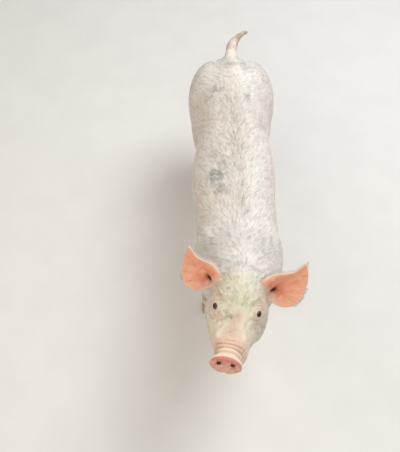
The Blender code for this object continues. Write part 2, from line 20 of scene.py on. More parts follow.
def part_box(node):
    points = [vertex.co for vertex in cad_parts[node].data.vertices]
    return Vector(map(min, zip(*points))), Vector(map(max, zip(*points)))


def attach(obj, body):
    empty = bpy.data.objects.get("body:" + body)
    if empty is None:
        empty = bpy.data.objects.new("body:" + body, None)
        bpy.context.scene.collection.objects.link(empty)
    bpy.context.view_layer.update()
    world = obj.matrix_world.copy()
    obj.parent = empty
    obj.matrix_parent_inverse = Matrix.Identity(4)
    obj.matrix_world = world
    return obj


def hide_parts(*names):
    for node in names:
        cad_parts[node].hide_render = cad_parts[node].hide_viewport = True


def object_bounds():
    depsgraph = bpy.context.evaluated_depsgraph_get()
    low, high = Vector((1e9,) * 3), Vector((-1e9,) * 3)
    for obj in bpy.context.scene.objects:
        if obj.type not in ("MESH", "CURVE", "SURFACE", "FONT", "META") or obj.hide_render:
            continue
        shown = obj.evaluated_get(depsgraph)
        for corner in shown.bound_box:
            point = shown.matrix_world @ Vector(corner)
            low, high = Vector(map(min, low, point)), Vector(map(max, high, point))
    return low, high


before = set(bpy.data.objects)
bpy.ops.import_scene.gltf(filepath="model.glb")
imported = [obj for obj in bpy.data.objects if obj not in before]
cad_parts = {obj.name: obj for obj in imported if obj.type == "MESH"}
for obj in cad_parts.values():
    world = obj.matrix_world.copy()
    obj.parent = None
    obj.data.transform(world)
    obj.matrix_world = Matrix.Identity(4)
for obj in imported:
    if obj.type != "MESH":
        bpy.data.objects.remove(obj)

Array = np.ndarray
Fields = dict[str, Array]  # one value per point for each name
Object, Mesh = bpy.types.Object, bpy.types.Mesh
Socket, Material = bpy.types.NodeSocket, bpy.types.Material

LOG = logging.getLogger("pig")
CAD_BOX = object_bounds()
SEED = 7
BAKE_MAP = "OFBake"  # the name of the map that the skin and the coat are laid out on
MM = 0.001


# ---- small tools
def linear(code: str) -> tuple[float, float, float, float]:
    """Turns an sRGB hex colour into the linear colour that shaders take.

    Args:
        code: six hex digits, such as "F0E8DC".

    Returns:
        Linear red, green, blue and an alpha of one.
    """
    parts = [int(code[i : i + 2], 16) / 255 for i in (0, 2, 4)]
    done = [c / 12.92 if c <= 0.04045 else ((c + 0.055) / 1.055) ** 2.4 for c in parts]
    return (done[0], done[1], done[2], 1.0)


def add(
    tree: bpy.types.NodeTree, kind: str, feeds: dict | None = None, out: int | str = 0, **settings
) -> Socket:
    """Adds one shader node with its settings and links.

    Args:
        tree: the material's node tree.
        kind: the node's type without the "ShaderNode" in front.
        feeds: for each input, by name or number, a value or the output that feeds it.
        out: the output that is wanted, by name or number.
        settings: the node's own properties.

    Returns:
        That output.
    """
    made = tree.nodes.new("ShaderNode" + kind)
    for name, value in settings.items():
        setattr(made, name, value)
    for key, value in (feeds or {}).items():
        if isinstance(value, Socket):
            tree.links.new(value, made.inputs[key])
        else:
            made.inputs[key].default_value = value
    return made.outputs[out]


def unit(vectors: Array) -> Array:
    """Scales each row to length one."""
    return vectors / np.maximum(np.linalg.norm(vectors, axis=-1, keepdims=True), 1e-12)


def ease(values: Array, low: float, high: float) -> Array:
    """Goes smoothly from 0 at low to 1 at high; high may be the smaller one."""
    t = np.clip((values - low) / (high - low), 0.0, 1.0)
    return t * t * (3 - 2 * t)


def waves(points: Array, size: float, seed: int) -> Array:
    """A slow, cloudy field of values about 0 to 1, with lumps of the given size in metres.

    Args:
        points: one place per row.
        size: width of a lump in metres.
        seed: picks one field out of many.

    Returns:
        One value per row.
    """
    rng = np.random.default_rng(seed)
    total = np.zeros(len(points))
    for _ in range(14):
        way = unit(rng.normal(size=3))
        pitch = 2 * math.pi / (size * rng.uniform(1.3, 3.4))
        total += np.sin(points @ way * pitch + rng.uniform(0, 2 * math.pi))
    return np.clip(0.5 + total / 9.0, 0.0, 1.0)


def hill(values: Array, at: float, width: float) -> Array:
    """Is 1 at one value and falls away smoothly on both sides of it."""
    return np.exp(-(((values - at) / width) ** 2))


def walk_order(points: Array, cell: float) -> Array:
    """An order that visits places near one another one after another.

    Args:
        points: one place per row.
        cell: places this near count as one.

    Returns:
        The numbers of the rows in that order.
    """
    steps = ((points - points.min(0)) / cell).astype(np.int64)
    key = np.zeros(len(points), np.int64)
    for bit in range(9):
        for axis in range(3):
            key |= ((steps[:, axis] >> bit) & 1) << (3 * bit + axis)
    return np.argsort(key, kind="stable")


def curve_through(points: tuple, steps: int = 10) -> Array:
    """Places along a smooth curve through the given ones.

    Args:
        points: at least two places.
        steps: places from one given point to the next.

    Returns:
        One place per row.
    """
    p = np.array(points, float)
    p = np.vstack([2 * p[0] - p[1], p, 2 * p[-1] - p[-2]])
    t = np.linspace(0, 1, steps, endpoint=False)[:, None]
    spans = []
    for a, b, c, d in zip(p[:-3], p[1:-2], p[2:-1], p[3:]):
        bend, twist = 2 * a - 5 * b + 4 * c - d, 3 * b - a - 3 * c + d
        spans.append(0.5 * (2 * b + (c - a) * t + bend * t**2 + twist * t**3))
    return np.vstack(spans + [p[-2][None]])


def to_curve(points: Array, line: Array) -> tuple[Array, Array]:
    """How far each point is from a line of places.

    Args:
        points: one place per row.
        line: places along the line.

    Returns:
        The distance, and how far along the line the nearest place is, from 0 to 1.
    """
    best = np.full(len(points), 1e9)
    along = np.zeros(len(points))
    for i, (a, b) in enumerate(zip(line[:-1], line[1:])):
        run = b - a
        t = np.clip((points - a) @ run / max(run @ run, 1e-12), 0, 1)
        d = np.linalg.norm(points - a - t[:, None] * run, axis=1)
        nearer = d < best
        best[nearer] = d[nearer]
        along[nearer] = (i + t[nearer]) / (len(line) - 1)
    return best, along


def middle(node: str) -> Vector:
    """The centre of a node's box."""
    low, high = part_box(node)
    return (Vector(low) + Vector(high)) / 2


# ---- where things are
class Side(Enum):
    """The pig's own left, towards +X, and its right."""

    LEFT = "L"
    RIGHT = "R"

    @property
    def sign(self) -> int:
        """Plus one on the left, minus one on the right."""
        return 1 if self is Side.LEFT else -1


@dataclass
class HeadFrame:
    """The head's own directions: x to its left, y back along the bridge, z up, from the snout's disc."""

    pitch: float = math.radians(12.0)
    yaw: float = math.radians(-12.0)
    disc_tilt: float = math.radians(14.0)  # the disc is flexed up by this much
    disc_from_box: Vector = field(default_factory=lambda: Vector((-0.0013, -0.0081, 0.0047)))

    def __post_init__(self) -> None:
        """Works out the matrices from the snout's box."""
        turn = Matrix.Rotation(self.yaw, 4, "Z") @ Matrix.Rotation(-self.pitch, 4, "X")
        self.matrix = Matrix.Translation(middle("snout") + self.disc_from_box) @ turn
        self.to_world = np.array(self.matrix)
        self.to_head = np.array(self.matrix.inverted())
        self.to_disc = np.array(Matrix.Rotation(self.disc_tilt, 3, "X"))

    def inward(self, points: Array) -> Array:
        """Places in the head's frame."""
        return points @ self.to_head[:3, :3].T + self.to_head[:3, 3]

    def outward(self, points: Array) -> Array:
        """Places in the model's frame from ones in the head's."""
        return np.asarray(points, float) @ self.to_world[:3, :3].T + self.to_world[:3, 3]

    def turned(self, ways: Array) -> Array:
        """Directions in the model's frame from ones in the head's."""
        return np.asarray(ways, float) @ self.to_world[:3, :3].T

    def on_disc(self, points: Array) -> Array:
        """Places as the disc sees them: to its left, back into the snout, and up its face."""
        return self.inward(points) @ self.to_disc.T


GAZE = {Side.LEFT: (0.46, -0.32, 0.81), Side.RIGHT: (0.20, -0.46, 0.86)}  # the right one as seen in a mirror


@dataclass
class EyeSpot:
    """One eye: its ball from the solids, and the slit between its lids."""

    side: Side
    head: HeadFrame
    half_length: float = 7.0 * MM
    upper: float = 4.6 * MM
    lower: float = 3.9 * MM
    slit: tuple = (0.10, 1.0, 0.06)  # the way it runs
    point: float = 0.16  # how much its corners are drawn to a point

    def __post_init__(self) -> None:
        """Reads the ball's place and size, and sets the eye's own directions."""
        low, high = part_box("eye_" + self.side.value)
        self.centre = np.array(middle("eye_" + self.side.value))
        self.radius = (high[0] - low[0]) / 2
        sign = np.array((self.side.sign, 1, 1))
        self.out = unit(self.head.turned(np.array(GAZE[self.side]) * sign))
        along = self.head.turned(np.array(self.slit) * sign)
        self.back = unit(along - self.out * (along @ self.out))
        self.up = np.cross(self.out, self.back) * self.side.sign
        self.up = self.up if self.up[2] > 0 else -self.up

    def seen(self, points: Array) -> tuple[Array, ...]:
        """Each point from the ball's centre: back along the slit, up across it, out, and its distance."""
        d = points - self.centre
        return d @ self.back, d @ self.up, d @ self.out, np.linalg.norm(d, axis=1)

    def beyond_lids(self, points: Array) -> Array:
        """Measures from the slit between the lids, as seen from straight ahead.

        Args:
            points: one place per row.

        Returns:
            How far outside the slit each is; inside is below zero.
        """
        a, b, c, r = self.seen(points)
        scale = self.radius / np.maximum(r, 1e-6)
        a, b = a * scale, b * scale
        height = np.where(b > 0, self.upper, self.lower)
        share = np.sqrt((a / self.half_length) ** 2 + (b / height) ** 2)
        almond = share * (1 + self.point * np.clip(np.abs(a) / self.half_length, 0, 1) ** 3)
        apart = (almond - 1) * np.minimum(self.half_length, height)
        return np.where(c > 0, apart, 1.0)


HEAD = HeadFrame()
EYES = {side: EyeSpot(side, HEAD) for side in Side}

EAR_MARGINS = np.array(  # share of the length from the canal, inner margin and outer margin in mm
    (
        (-0.26, -9, 14), (-0.20, -26, 36), (-0.13, -30, 48), (0.00, -34.5, 57.5),
        (0.13, -36, 60.5), (0.27, -32.5, 59), (0.40, -23.5, 55), (0.53, -12.5, 49),
        (0.66, -4.5, 41), (0.78, -2.5, 31.5), (0.90, -1.6, 17.5), (1.00, -1, 2),
    )
)


@dataclass
class EarSpot:
    """One ear's directions: along from the canal to the tip, across to its outer margin and out of it."""

    side: Side
    canal: tuple  # all in the head's frame
    point: tuple
    facing: tuple
    length: float
    trough: float = 4.0 * MM  # how far across the canal lies
    sunk: float = 2.5 * MM  # and how far back

    def __post_init__(self) -> None:
        """Works out the directions in the model's frame."""
        self.node = "ear_" + self.side.value
        self.origin = HEAD.outward(np.array(self.canal))
        self.along = unit(HEAD.turned(self.point))
        face = HEAD.turned(self.facing)
        self.face = unit(face - self.along * (face @ self.along))
        self.across = np.cross(self.along, self.face) * self.side.sign

    def seen(self, points: Array) -> tuple[Array, Array, Array]:
        """Each point's share of the length, its distance across and its distance out."""
        d = points - self.origin
        return d @ self.along / self.length, d @ self.across, d @ self.face

    def width_share(self, points: Array) -> Array:
        """Measures across the ear.

        Args:
            points: one place per row.

        Returns:
            How far each is from the inner margin, at 0, to the outer one, at 1.
        """
        share, across, _ = self.seen(points)
        inner, outer = (np.interp(share, EAR_MARGINS[:, 0], EAR_MARGINS[:, k]) for k in (1, 2))
        return (across / MM - inner) / (outer - inner)

    def from_canal(self, points: Array) -> tuple[Array, Array]:
        """Each point's distance along and across from the mouth of the canal."""
        share, across, _ = self.seen(points)
        return share * self.length + self.sunk, across - self.trough


EAR_SPOTS = (
    EarSpot(Side.LEFT, (0.0692, 0.1800, 0.0435), (0.61, 0.41, 0.68), (0.20, -1.0, 0.42), 0.0935),
    EarSpot(Side.RIGHT, (-0.0735, 0.1800, 0.0435), (-0.62, 0.44, 0.65), (-0.28, -1.0, 0.42), 0.0820),
)

EARS = ("ear_L", "ear_R")
LEGS = tuple(f"{end}leg_{part}_{s}" for end in ("fore", "hind") for part in ("upper", "lower") for s in "LR")
FEET = tuple(f"{end}_{s}" for end in ("forefoot", "hindfoot") for s in "LR")
FLESH = ("trunk", "neck", "head", "lower_jaw", "snout", "tail") + EARS + LEGS + FEET


# ---- the mesh being sculpted
def apply_modifiers(obj: Object) -> None:
    """Turns the object's mesh into what its modifiers make of it.

    Args:
        obj: the object.
    """
    graph = bpy.context.evaluated_depsgraph_get()
    made = bpy.data.meshes.new_from_object(obj.evaluated_get(graph))
    old = obj.data
    obj.modifiers.clear()
    obj.data = made
    bpy.data.meshes.remove(old)


def fuse(obj: Object, grain: float) -> None:
    """Makes one even, closed surface of all that the object's mesh holds.

    Args:
        obj: the object.
        grain: the width of a face.
    """
    remesh = obj.modifiers.new("fuse", "REMESH")
    remesh.mode = "VOXEL"
    remesh.voxel_size = grain
    apply_modifiers(obj)


def standing(name: str, bm: bmesh.types.BMesh) -> Object:
    """Puts a mesh in the scene as an object, and frees what it was made in.

    Args:
        name: the object's name and the mesh's.
        bm: the mesh.

    Returns:
        The object.
    """
    mesh = bpy.data.meshes.new(name)
    bm.to_mesh(mesh)
    bm.free()
    obj = bpy.data.objects.new(name, mesh)
    bpy.context.scene.collection.objects.link(obj)
    return obj


def smooth(mesh: Mesh) -> None:
    """Shades every face smooth."""
    mesh.polygons.foreach_set("use_smooth", np.ones(len(mesh.polygons), bool))


def rows(items: bpy.types.bpy_prop_collection, key: str, width: int, kind: type = float) -> Array:
    """Reads one property of all of a mesh's items.

    Args:
        items: the points, edges, faces or map places.
        key: the property.
        width: how many numbers it has.
        kind: the type of a number.

    Returns:
        One row per item.
    """
    found = np.empty(len(items) * width, kind)
    items.foreach_get(key, found)
    return found.reshape(-1, width)


def write_fields(mesh: Mesh, fields: Fields) -> None:
    """Writes values on a mesh's points, which the finishes read by name.

    Args:
        mesh: the mesh.
        fields: for each name one value per point.
    """
    for name, values in fields.items():
        layer = mesh.attributes.new(name, "FLOAT", "POINT")
        layer.data.foreach_set("value", np.asarray(values, np.float32))


def nearest_node(points: Array) -> Array:
    """Finds which piece of flesh each point belongs to.

    Args:
        points: one place per row.

    Returns:
        For each the number in FLESH of the node that it is closest to.
    """
    corners, faces, owner = [], [], []
    for i, name in enumerate(FLESH):
        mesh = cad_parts[name].data
        base = len(corners)
        corners += [v.co for v in mesh.vertices]
        faces += [tuple(base + k for k in p.vertices) for p in mesh.polygons]
        owner += [i] * len(mesh.polygons)
    tree = BVHTree.FromPolygons(corners, faces)
    return np.array([owner[tree.find_nearest(Vector(p))[2]] for p in points])


class Clay:
    """A mesh whose points are moved as one array."""

    def __init__(self, obj: Object) -> None:
        """Takes the points and edges of the object's mesh."""
        self.obj = obj
        self.read()

    def read(self) -> None:
        """Reads the mesh again after its faces changed."""
        self.co = rows(self.obj.data.vertices, "co", 3)
        edges = rows(self.obj.data.edges, "vertices", 2, np.int64)
        self.ends = np.concatenate([edges[:, 0], edges[:, 1]])
        self.starts = np.concatenate([edges[:, 1], edges[:, 0]])
        self.count = np.maximum(np.bincount(self.ends, minlength=len(self.co)), 1)[:, None]

    def write(self) -> None:
        """Puts the points back in the mesh."""
        self.obj.data.vertices.foreach_set("co", self.co.ravel())
        self.obj.data.update()

    def normals(self) -> Array:
        """The direction out of the surface at each point."""
        self.write()
        return rows(self.obj.data.vertex_normals, "vector", 3)

    def tree(self) -> BVHTree:
        """Makes the mesh, as it is now, searchable.

        Returns:
            A search tree.
        """
        self.write()
        mesh = self.obj.data
        return BVHTree.FromPolygons([v.co for v in mesh.vertices], [tuple(p.vertices) for p in mesh.polygons])

    def average(self, values: Array) -> Array:
        """The mean of each point's neighbours."""
        sums = [np.bincount(self.ends, values[self.starts, k], len(values)) for k in range(values.shape[1])]
        return np.stack(sums, 1) / self.count

    def relax(self, passes: int, share: Array | float, swell: float = 0.0) -> None:
        """Draws each point towards its neighbours.

        Args:
            passes: how many times.
            share: how much of the way, per point or for all.
            swell: how much of that is pushed back after each pass, which keeps the volume.
        """
        share = np.broadcast_to(np.asarray(share, float), (len(self.co),))[:, None]
        for _ in range(passes):
            self.co += share * (self.average(self.co) - self.co)
            if swell:
                self.co -= swell * share * (self.average(self.co) - self.co)

    def refine(self, chosen: Array) -> None:
        """Splits the faces whose points are all chosen into four.

        Args:
            chosen: one truth value per point.
        """
        self.write()
        bm = bmesh.new()
        bm.from_mesh(self.obj.data)
        bm.verts.ensure_lookup_table()
        edges = [e for e in bm.edges if chosen[e.verts[0].index] and chosen[e.verts[1].index]]
        bmesh.ops.subdivide_edges(bm, edges=edges, cuts=1, use_grid_fill=True)
        bmesh.ops.triangulate(bm, faces=[f for f in bm.faces if len(f.verts) > 4])
        bm.to_mesh(self.obj.data)
        bm.free()
        self.read()


@dataclass(frozen=True)
class Fold:
    """A crease or ridge of skin along a line on the surface."""

    path: tuple  # this and the next two are in mm
    width: float
    rise: float  # below zero for a crease
    lip: float = 0.35  # the share of it that swells the other way along both sides
    crease_shade: float = 0.25  # how much painted shade, dark red, darkens the crease at its deepest; the skin there is also a little redder
    mirrored: bool = True
    in_head: bool = True

    def lines(self, tree: BVHTree) -> list[Array]:
        """The line on each side, laid on the surface.

        Args:
            tree: the surface.

        Returns:
            Places along each line, in the model's frame.
        """
        made = []
        for sign in (1, -1) if self.mirrored else (1,):
            line = curve_through(tuple((x * sign, y, z) for x, y, z in self.path)) * MM
            line = HEAD.outward(line) if self.in_head else line
            made.append(np.array([tree.find_nearest(Vector(p))[0] for p in line]))
        return made

    def height(self, points: Array, line: Array) -> Array:
        """Works out the relief of one line, which fades out towards its ends.

        Args:
            points: the skin's points.
            line: places along the line.

        Returns:
            How far each point moves out along its normal.
        """
        width = self.width * MM
        reach = 4.0 * width
        low, high = line.min(0) - reach, line.max(0) + reach
        near = np.where(((points > low) & (points < high)).all(1))[0]
        found = np.zeros(len(points))
        if len(near):
            d, along = to_curve(points[near], line)
            fade = ease(along, 0.0, 0.30) * ease(along, 1.0, 0.70)
            found[near] = self.rise * MM * fade * (hill(d, 0, width) - self.lip * hill(d, 1.9 * width, width))
        return found


@dataclass(frozen=True)
class Pull:
    """A soft push of one part of the head, which no pig carries quite evenly, in mm in the head's frame."""

    place: tuple
    reach: float
    by: tuple

    def moved(self, h: Array) -> Array:
        """How far each place of the head moves."""
        share = hill(np.linalg.norm(h / MM - self.place, axis=1), 0, self.reach)
        return HEAD.turned(np.array(self.by) * MM) * share[:, None]


PULLS = (
    Pull((-38, 27, -6), 18, (10, 0, 0)),  # the right lip, drawn in behind the disc
    Pull((-41, 44, -24), 22, (8, 0, 0)),
    Pull((71, 112, 0), 30, (-5, 0, 0)),  # the left cheek, leaner than the right
    Pull((70, 145, -20), 30, (-3, 0, 0)),
)


def ring(y: float, top: float, half: float, drop: float, lean: float = 0.0) -> tuple:
    """A line over the top of the muzzle from one side to the other, in mm.

    Args:
        y: how far behind the disc it crosses the bridge.
        top: its height on the bridge.
        half: how far out it reaches.
        drop: how far down its ends are.
        lean: how much further back its ends are.

    Returns:
        Places in the head's frame.
    """
    path = []
    for angle in (-100, -72, -40, 0, 40, 72, 100):
        turn = math.radians(angle)
        fall = 1 - math.cos(turn)
        path.append((half * math.sin(turn), y + lean * fall, top - (top + drop) * fall / 1.17))
    return tuple(path)


FOLDS = (
    # rings behind the disc, over the bridge of the snout
    Fold(ring(22.5, 22.2, 30, 20, 2), 1.5, -1.1, 0.5, 0.45, mirrored=False),
    Fold(ring(31.5, 22.5, 32, 18, 3), 1.7, -1.8, 0.55, 0.95, mirrored=False),
    Fold(ring(40, 23, 35, 14, 6), 1.7, -1.3, 0.55, 0.80, mirrored=False),
    # cross wrinkles higher on the bridge
    Fold(((-17, 50, 24), (0, 48.5, 26), (18, 51, 24)), 1.8, -0.8, 0.4, 0.6, mirrored=False),
    Fold(((-10, 60, 25), (3, 58.5, 27), (15, 61, 25)), 1.8, -0.6, 0.4, 0.5, mirrored=False),
    Fold(((-14, 67, 25), (-4, 66.5, 27), (6, 69, 25)), 1.7, -0.4, 0.4, 0.3, mirrored=False),
    # the two swellings beside the bridge, over the roots of the tusks
    Fold(((28, 50, 13), (32, 62, 15), (36, 74, 16)), 7.5, 2.6, 0.2),
    # furrow between the bridge and the lip
    Fold(((29, 22, 4), (32.5, 36, 1), (38.5, 56, -3)), 2.8, -1.8, 0.5, 0.35),
    # the mouth, from under the disc back to its corner
    Fold(((10, 14, -34), (28, 30, -32), (36, 55, -30), (43, 80, -25), (50, 94, -18)), 1.7, -3.0, 0.35, 0.8),
    # lip swelling above the mouth, behind the disc
    Fold(((36, 34, -16), (40, 44, -15), (41, 56, -14)), 6.0, 1.2, 0.2),
    # folds at the corner of the mouth and down the jowl
    Fold(((50, 94, -10), (58, 104, -22), (61, 110, -40)), 3.0, -1.2, 0.5),
    Fold(((58, 112, -4), (66, 124, -24), (67, 130, -48)), 4.0, -0.9, 0.4),
    # bag under each eye and the furrow in front of it
    Fold(((40, 94, 30), (53, 96, 16), (62, 112, 10), (64, 130, 16)), 2.2, -0.9, 0.5, 0.5),
    Fold(((38, 88, 30), (50, 89, 14), (59, 104, 4)), 2.0, -0.5, 0.4, 0.3),
    Fold(((28, 76, 26), (33, 92, 34), (36, 104, 42)), 4.0, -0.8, 0.3),
    # brow above each eye
    Fold(((24, 118, 48), (34, 134, 58), (48, 146, 52)), 5.0, 1.9, 0.2),
    Fold(((28, 128, 56), (40, 146, 61), (50, 156, 55)), 2.2, -0.7, 0.4, 0.15),
    # cheekbone
    Fold(((50, 80, 4), (60, 106, 0), (67, 134, 4)), 9.0, 1.2, 0.1),
    # skin gathered behind the ears and the poll
    Fold(((24, 214, 66), (36, 210, 62), (48, 214, 52)), 5.0, -0.8, 0.2),
    # throat
    Fold(((50, 205, -70), (20, 190, -104), (0, 186, -112)), 4.0, -1.6, 0.4),
    Fold(((58, 245, -80), (26, 228, -120), (0, 222, -128)), 4.5, -1.4, 0.4),
    # behind the elbow, and the flank
    Fold(((110, -118, 300), (107, -104, 265), (94, -98, 235)), 6, -2.6, 0.35, in_head=False),
    Fold(((104, 190, 330), (104, 184, 290), (94, 190, 255)), 11, -1.4, 0, 0.1, in_head=False),
    # shoulder blade and point of the hip
    Fold(((70, -150, 430), (98, -165, 390), (112, -190, 330)), 13, 1.5, 0.2, in_head=False),
    Fold(((78, -100, 425), (104, -112, 380), (116, -125, 325)), 8, -1.3, 0.1, in_head=False),
    Fold(((50, 268, 455), (78, 258, 425)), 12, 1.6, 0.1, in_head=False),
    # between the hams, under the tail
    Fold(((0, 470, 405), (0, 474, 360), (0, 455, 315)), 6, -3.0, 0.3, mirrored=False, in_head=False),
)


@dataclass
class Zones:
    """How far each point of the skin belongs to a part of the animal, from 0 to 1."""

    h: Array  # the points in the head's frame
    trunk: Array
    limb: Array
    ear: Array
    by_ear: Array
    snout: Array


@dataclass
class Skin:
    """The one skin over all of the flesh, with its folds, lids and markings."""

    kerf_fill: float = 0.4 * MM  # closes the cuts between the pieces of flesh
    grain: float = 2.2 * MM
    body_depth: float = 1.0 * MM  # the coat's depth over the trunk
    face_depth: float = 0.35 * MM
    body_faces: float = 0.22  # share of the trunk's faces that is kept
    trunk_from: tuple = (0.265, 0.215)  # behind the disc, where all is trunk and where none is
    leg_below: tuple = (0.24, 0.17)  # over the floor, where a leg begins and where all is leg
    snout_within: tuple = (0.055, 0.035)  # round the disc's middle
    even: float = 0.16  # how far one pass evens out the facets of the head
    even_trunk: float = 0.34  # and how much further those of the trunk
    ham: tuple = (0.117, 0.249, 0.312)  # where the flank runs into the thigh
    rump: tuple = (0.0, 0.435, 0.440)
    rump_reach: float = 0.055
    rump_push: tuple = (0.0, 5.0 * MM, 4.0 * MM)
    furrow: float = 1.2 * MM  # depth of the one along the back
    furrow_width: float = 0.008

    def build(self) -> Object:
        """Makes the skin and everything that is carried on it.

        Returns:
            The skin.
        """
        self.marks = {}
        self.obj = self.gathered()
        self.clay = Clay(self.obj)
        self.smooth_over()
        self.thin_out()
        self.teats = Teats(self)
        self.detail()
        self.sculpt()
        smooth(self.obj.data)
        self.mark()
        self.unwrap()
        self.obj.data.materials.clear()
        self.obj.data.materials.append(PigSkin().material())
        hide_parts(*FLESH)
        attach(self.obj, "root")
        LOG.info("skin: %d faces", len(self.obj.data.polygons))
        return self.obj

    def gathered(self) -> Object:
        """All of the flesh and the eyeballs, fused.

        Returns:
            One closed surface.
        """
        bm = bmesh.new()
        for name in FLESH + ("eye_L", "eye_R"):
            piece = bmesh.new()
            piece.from_mesh(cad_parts[name].data)
            bmesh.ops.remove_doubles(piece, verts=piece.verts, dist=MM / 1000)
            piece.normal_update()
            for v in piece.verts:
                v.co += v.normal * self.kerf_fill
            held = bpy.data.meshes.new("held")
            piece.to_mesh(held)
            bm.from_mesh(held)
            bpy.data.meshes.remove(held)
            piece.free()
        obj = standing("skin", bm)
        fuse(obj, self.grain)
        return obj

    def zones(self) -> Zones:
        """Finds the parts of the animal on the skin.

        Returns:
            The share of each part at each point.
        """
        co = self.clay.co
        h = HEAD.inward(co)
        self.region = nearest_node(co)
        ear = np.isin(self.region, [FLESH.index(n) for n in EARS]).astype(float)
        return Zones(
            h=h,
            trunk=1.0 - ease(h[:, 1], *self.trunk_from),
            limb=ease(co[:, 2], *self.leg_below),
            ear=ear,
            by_ear=self.spread(ear, 5),
            snout=ease(np.linalg.norm(h * (1, 0.8, 1), axis=1), *self.snout_within),
        )

    def smooth_over(self) -> None:
        """Takes the facets off, blends the pieces together, and sets the skin in by the coat's depth."""
        zone = self.zones()
        soft = self.even + self.even_trunk * zone.trunk * (1 - 0.55 * zone.limb)
        soft = soft * (1 - 0.75 * zone.by_ear) * (1 - 0.6 * zone.snout)
        self.clay.relax(34, np.clip(soft, 0, 0.5), swell=1.02)
        self.blend_ears(zone)
        self.blend_seams(zone)
        coat = (self.body_depth - self.face_depth) * zone.trunk * (1 - 0.7 * zone.limb)
        depth = self.kerf_fill + self.face_depth + coat
        depth = depth * (1 - 0.9 * zone.by_ear) * (1 - 0.6 * zone.snout)
        self.clay.co -= self.clay.normals() * depth[:, None]
        self.clay.write()

    def blend_ears(self, zone: Zones) -> None:
        """Runs the roots of the ears into the head.

        Args:
            zone: the parts of the animal.
        """
        join = self.soften(zone.ear, 6)
        join = np.clip(4 * join * (1 - join), 0, 1)
        root = np.max([ease(spot.seen(self.clay.co)[0], 0.35, 0.15) for spot in EAR_SPOTS], axis=0)
        self.clay.relax(14, 0.5 * join * root)
        self.clay.relax(3, 0.3 * (1 - zone.by_ear) * (1 - 0.8 * zone.snout))

    def blend_seams(self, zone: Zones) -> None:
        """Smooths the lines along which the pieces behind the face meet, and the hollow before each ham.

        Args:
            zone: the parts of the animal.
        """
        clay, (_, back, up) = self.clay, zone.h.T
        seam = np.zeros(len(clay.co))
        seam[clay.ends[self.region[clay.ends] != self.region[clay.starts]]] = 1.0
        seam *= ease(back, 0.165, 0.185) * ((up > 0.0) | (back > 0.24))
        join = np.clip(2.5 * self.soften(self.spread(seam, 1), 8), 0, 1) * (1 - self.soften(zone.by_ear, 3))
        clay.relax(70, 0.5 * join, swell=0.35)
        ham = np.linalg.norm(np.abs(clay.co) - self.ham, axis=1)
        clay.relax(80, 0.5 * ease(ham, 0.045, 0.015) * (clay.co[:, 1] > 0))

    def spread(self, values: Array, passes: int) -> Array:
        """Softens a value over the surface without lowering it where it is full.

        Args:
            values: one per point.
            passes: how many points wide it becomes.

        Returns:
            The new values.
        """
        for _ in range(passes):
            values = np.maximum(values, self.clay.average(values[:, None])[:, 0])
        return values

    def soften(self, values: Array, passes: int) -> Array:
        """Blurs a value over the surface.

        Args:
            values: one per point.
            passes: how many points wide the blur is.

        Returns:
            The new values.
        """
        values = np.asarray(values, float)[:, None]
        for _ in range(passes):
            values = self.clay.average(values)
        return values[:, 0]

    def thin_out(self) -> None:
        """Leaves the trunk, neck and upper legs fewer faces than the head, ears and feet."""
        h = HEAD.inward(self.clay.co)
        body = (h[:, 1] > 0.235) & (self.clay.co[:, 2] > self.leg_below[1])
        tail = self.region == FLESH.index("tail")
        group = self.obj.vertex_groups.new(name="body")
        group.add(np.where(body & ~tail)[0].tolist(), 1.0, "REPLACE")
        thin = self.obj.modifiers.new("thin", "DECIMATE")
        thin.ratio = self.body_faces + (1 - self.body_faces) * float((~body | tail).mean())
        thin.vertex_group = "body"
        thin.vertex_group_factor = 10.0
        apply_modifiers(self.obj)
        self.obj.vertex_groups.clear()
        self.clay.read()

    def nearest(self, places: list[Array]) -> Array:
        """How far each point of the skin is from the nearest of some places."""
        return np.min([np.linalg.norm(self.clay.co - place, axis=1) for place in places], axis=0)

    def detail(self) -> None:
        """Gives the face, the canals, the lids and the teats the finer faces that their forms need."""
        eyes = [spot.centre for spot in EYES.values()]
        canals = [spot.origin for spot in EAR_SPOTS]
        teats = self.teats.found()
        h = HEAD.inward(self.clay.co)
        muzzle = (h[:, 1] < 0.058) & (np.abs(h[:, 0]) < 0.06)
        near = (self.nearest(eyes) < 0.030) | (self.nearest(canals) < 0.024) | (self.nearest(teats) < 0.014)
        self.clay.refine(muzzle | near)
        self.clay.refine((self.nearest(eyes) < 0.0195) | (self.nearest(teats) < 0.009))
        h = HEAD.inward(self.clay.co)
        fine = ease(h[:, 1], 0.075, 0.05) + ease(self.nearest(eyes), 0.034, 0.028)
        self.clay.relax(10, np.clip(fine, 0, 1) * 0.40, swell=1.02)

    def sculpt(self) -> None:
        """Adds the folds, the snout, the lids, the ears and the teats."""
        h = HEAD.inward(self.clay.co)
        self.clay.co += sum(pull.moved(h) for pull in PULLS)
        self.shape_back()
        self.even_joints()
        self.press_folds()
        Snout(self).shape()
        EarHollow(self).shape()
        self.teats.rise()
        Lids(self).part()
        self.clay.write()

    def shape_back(self) -> None:
        """Fills the rump, evens the back and presses the furrow along the spine."""
        clay = self.clay
        off = np.linalg.norm((clay.co - self.rump) * (0.8, 1, 1), axis=1)
        clay.co += hill(off, 0, self.rump_reach)[:, None] * self.rump_push
        x, y, z = clay.co.T
        back = (z > 0.30) & (y > -0.20) & (y < 0.36)
        clay.relax(8, 0.4 * self.soften(back, 3), swell=0.9)
        along = ease(y, -0.17, -0.08) * ease(y, 0.33, 0.25) * (z > 0.36)
        clay.co[:, 2] -= self.furrow * hill(x, 0, self.furrow_width) * along

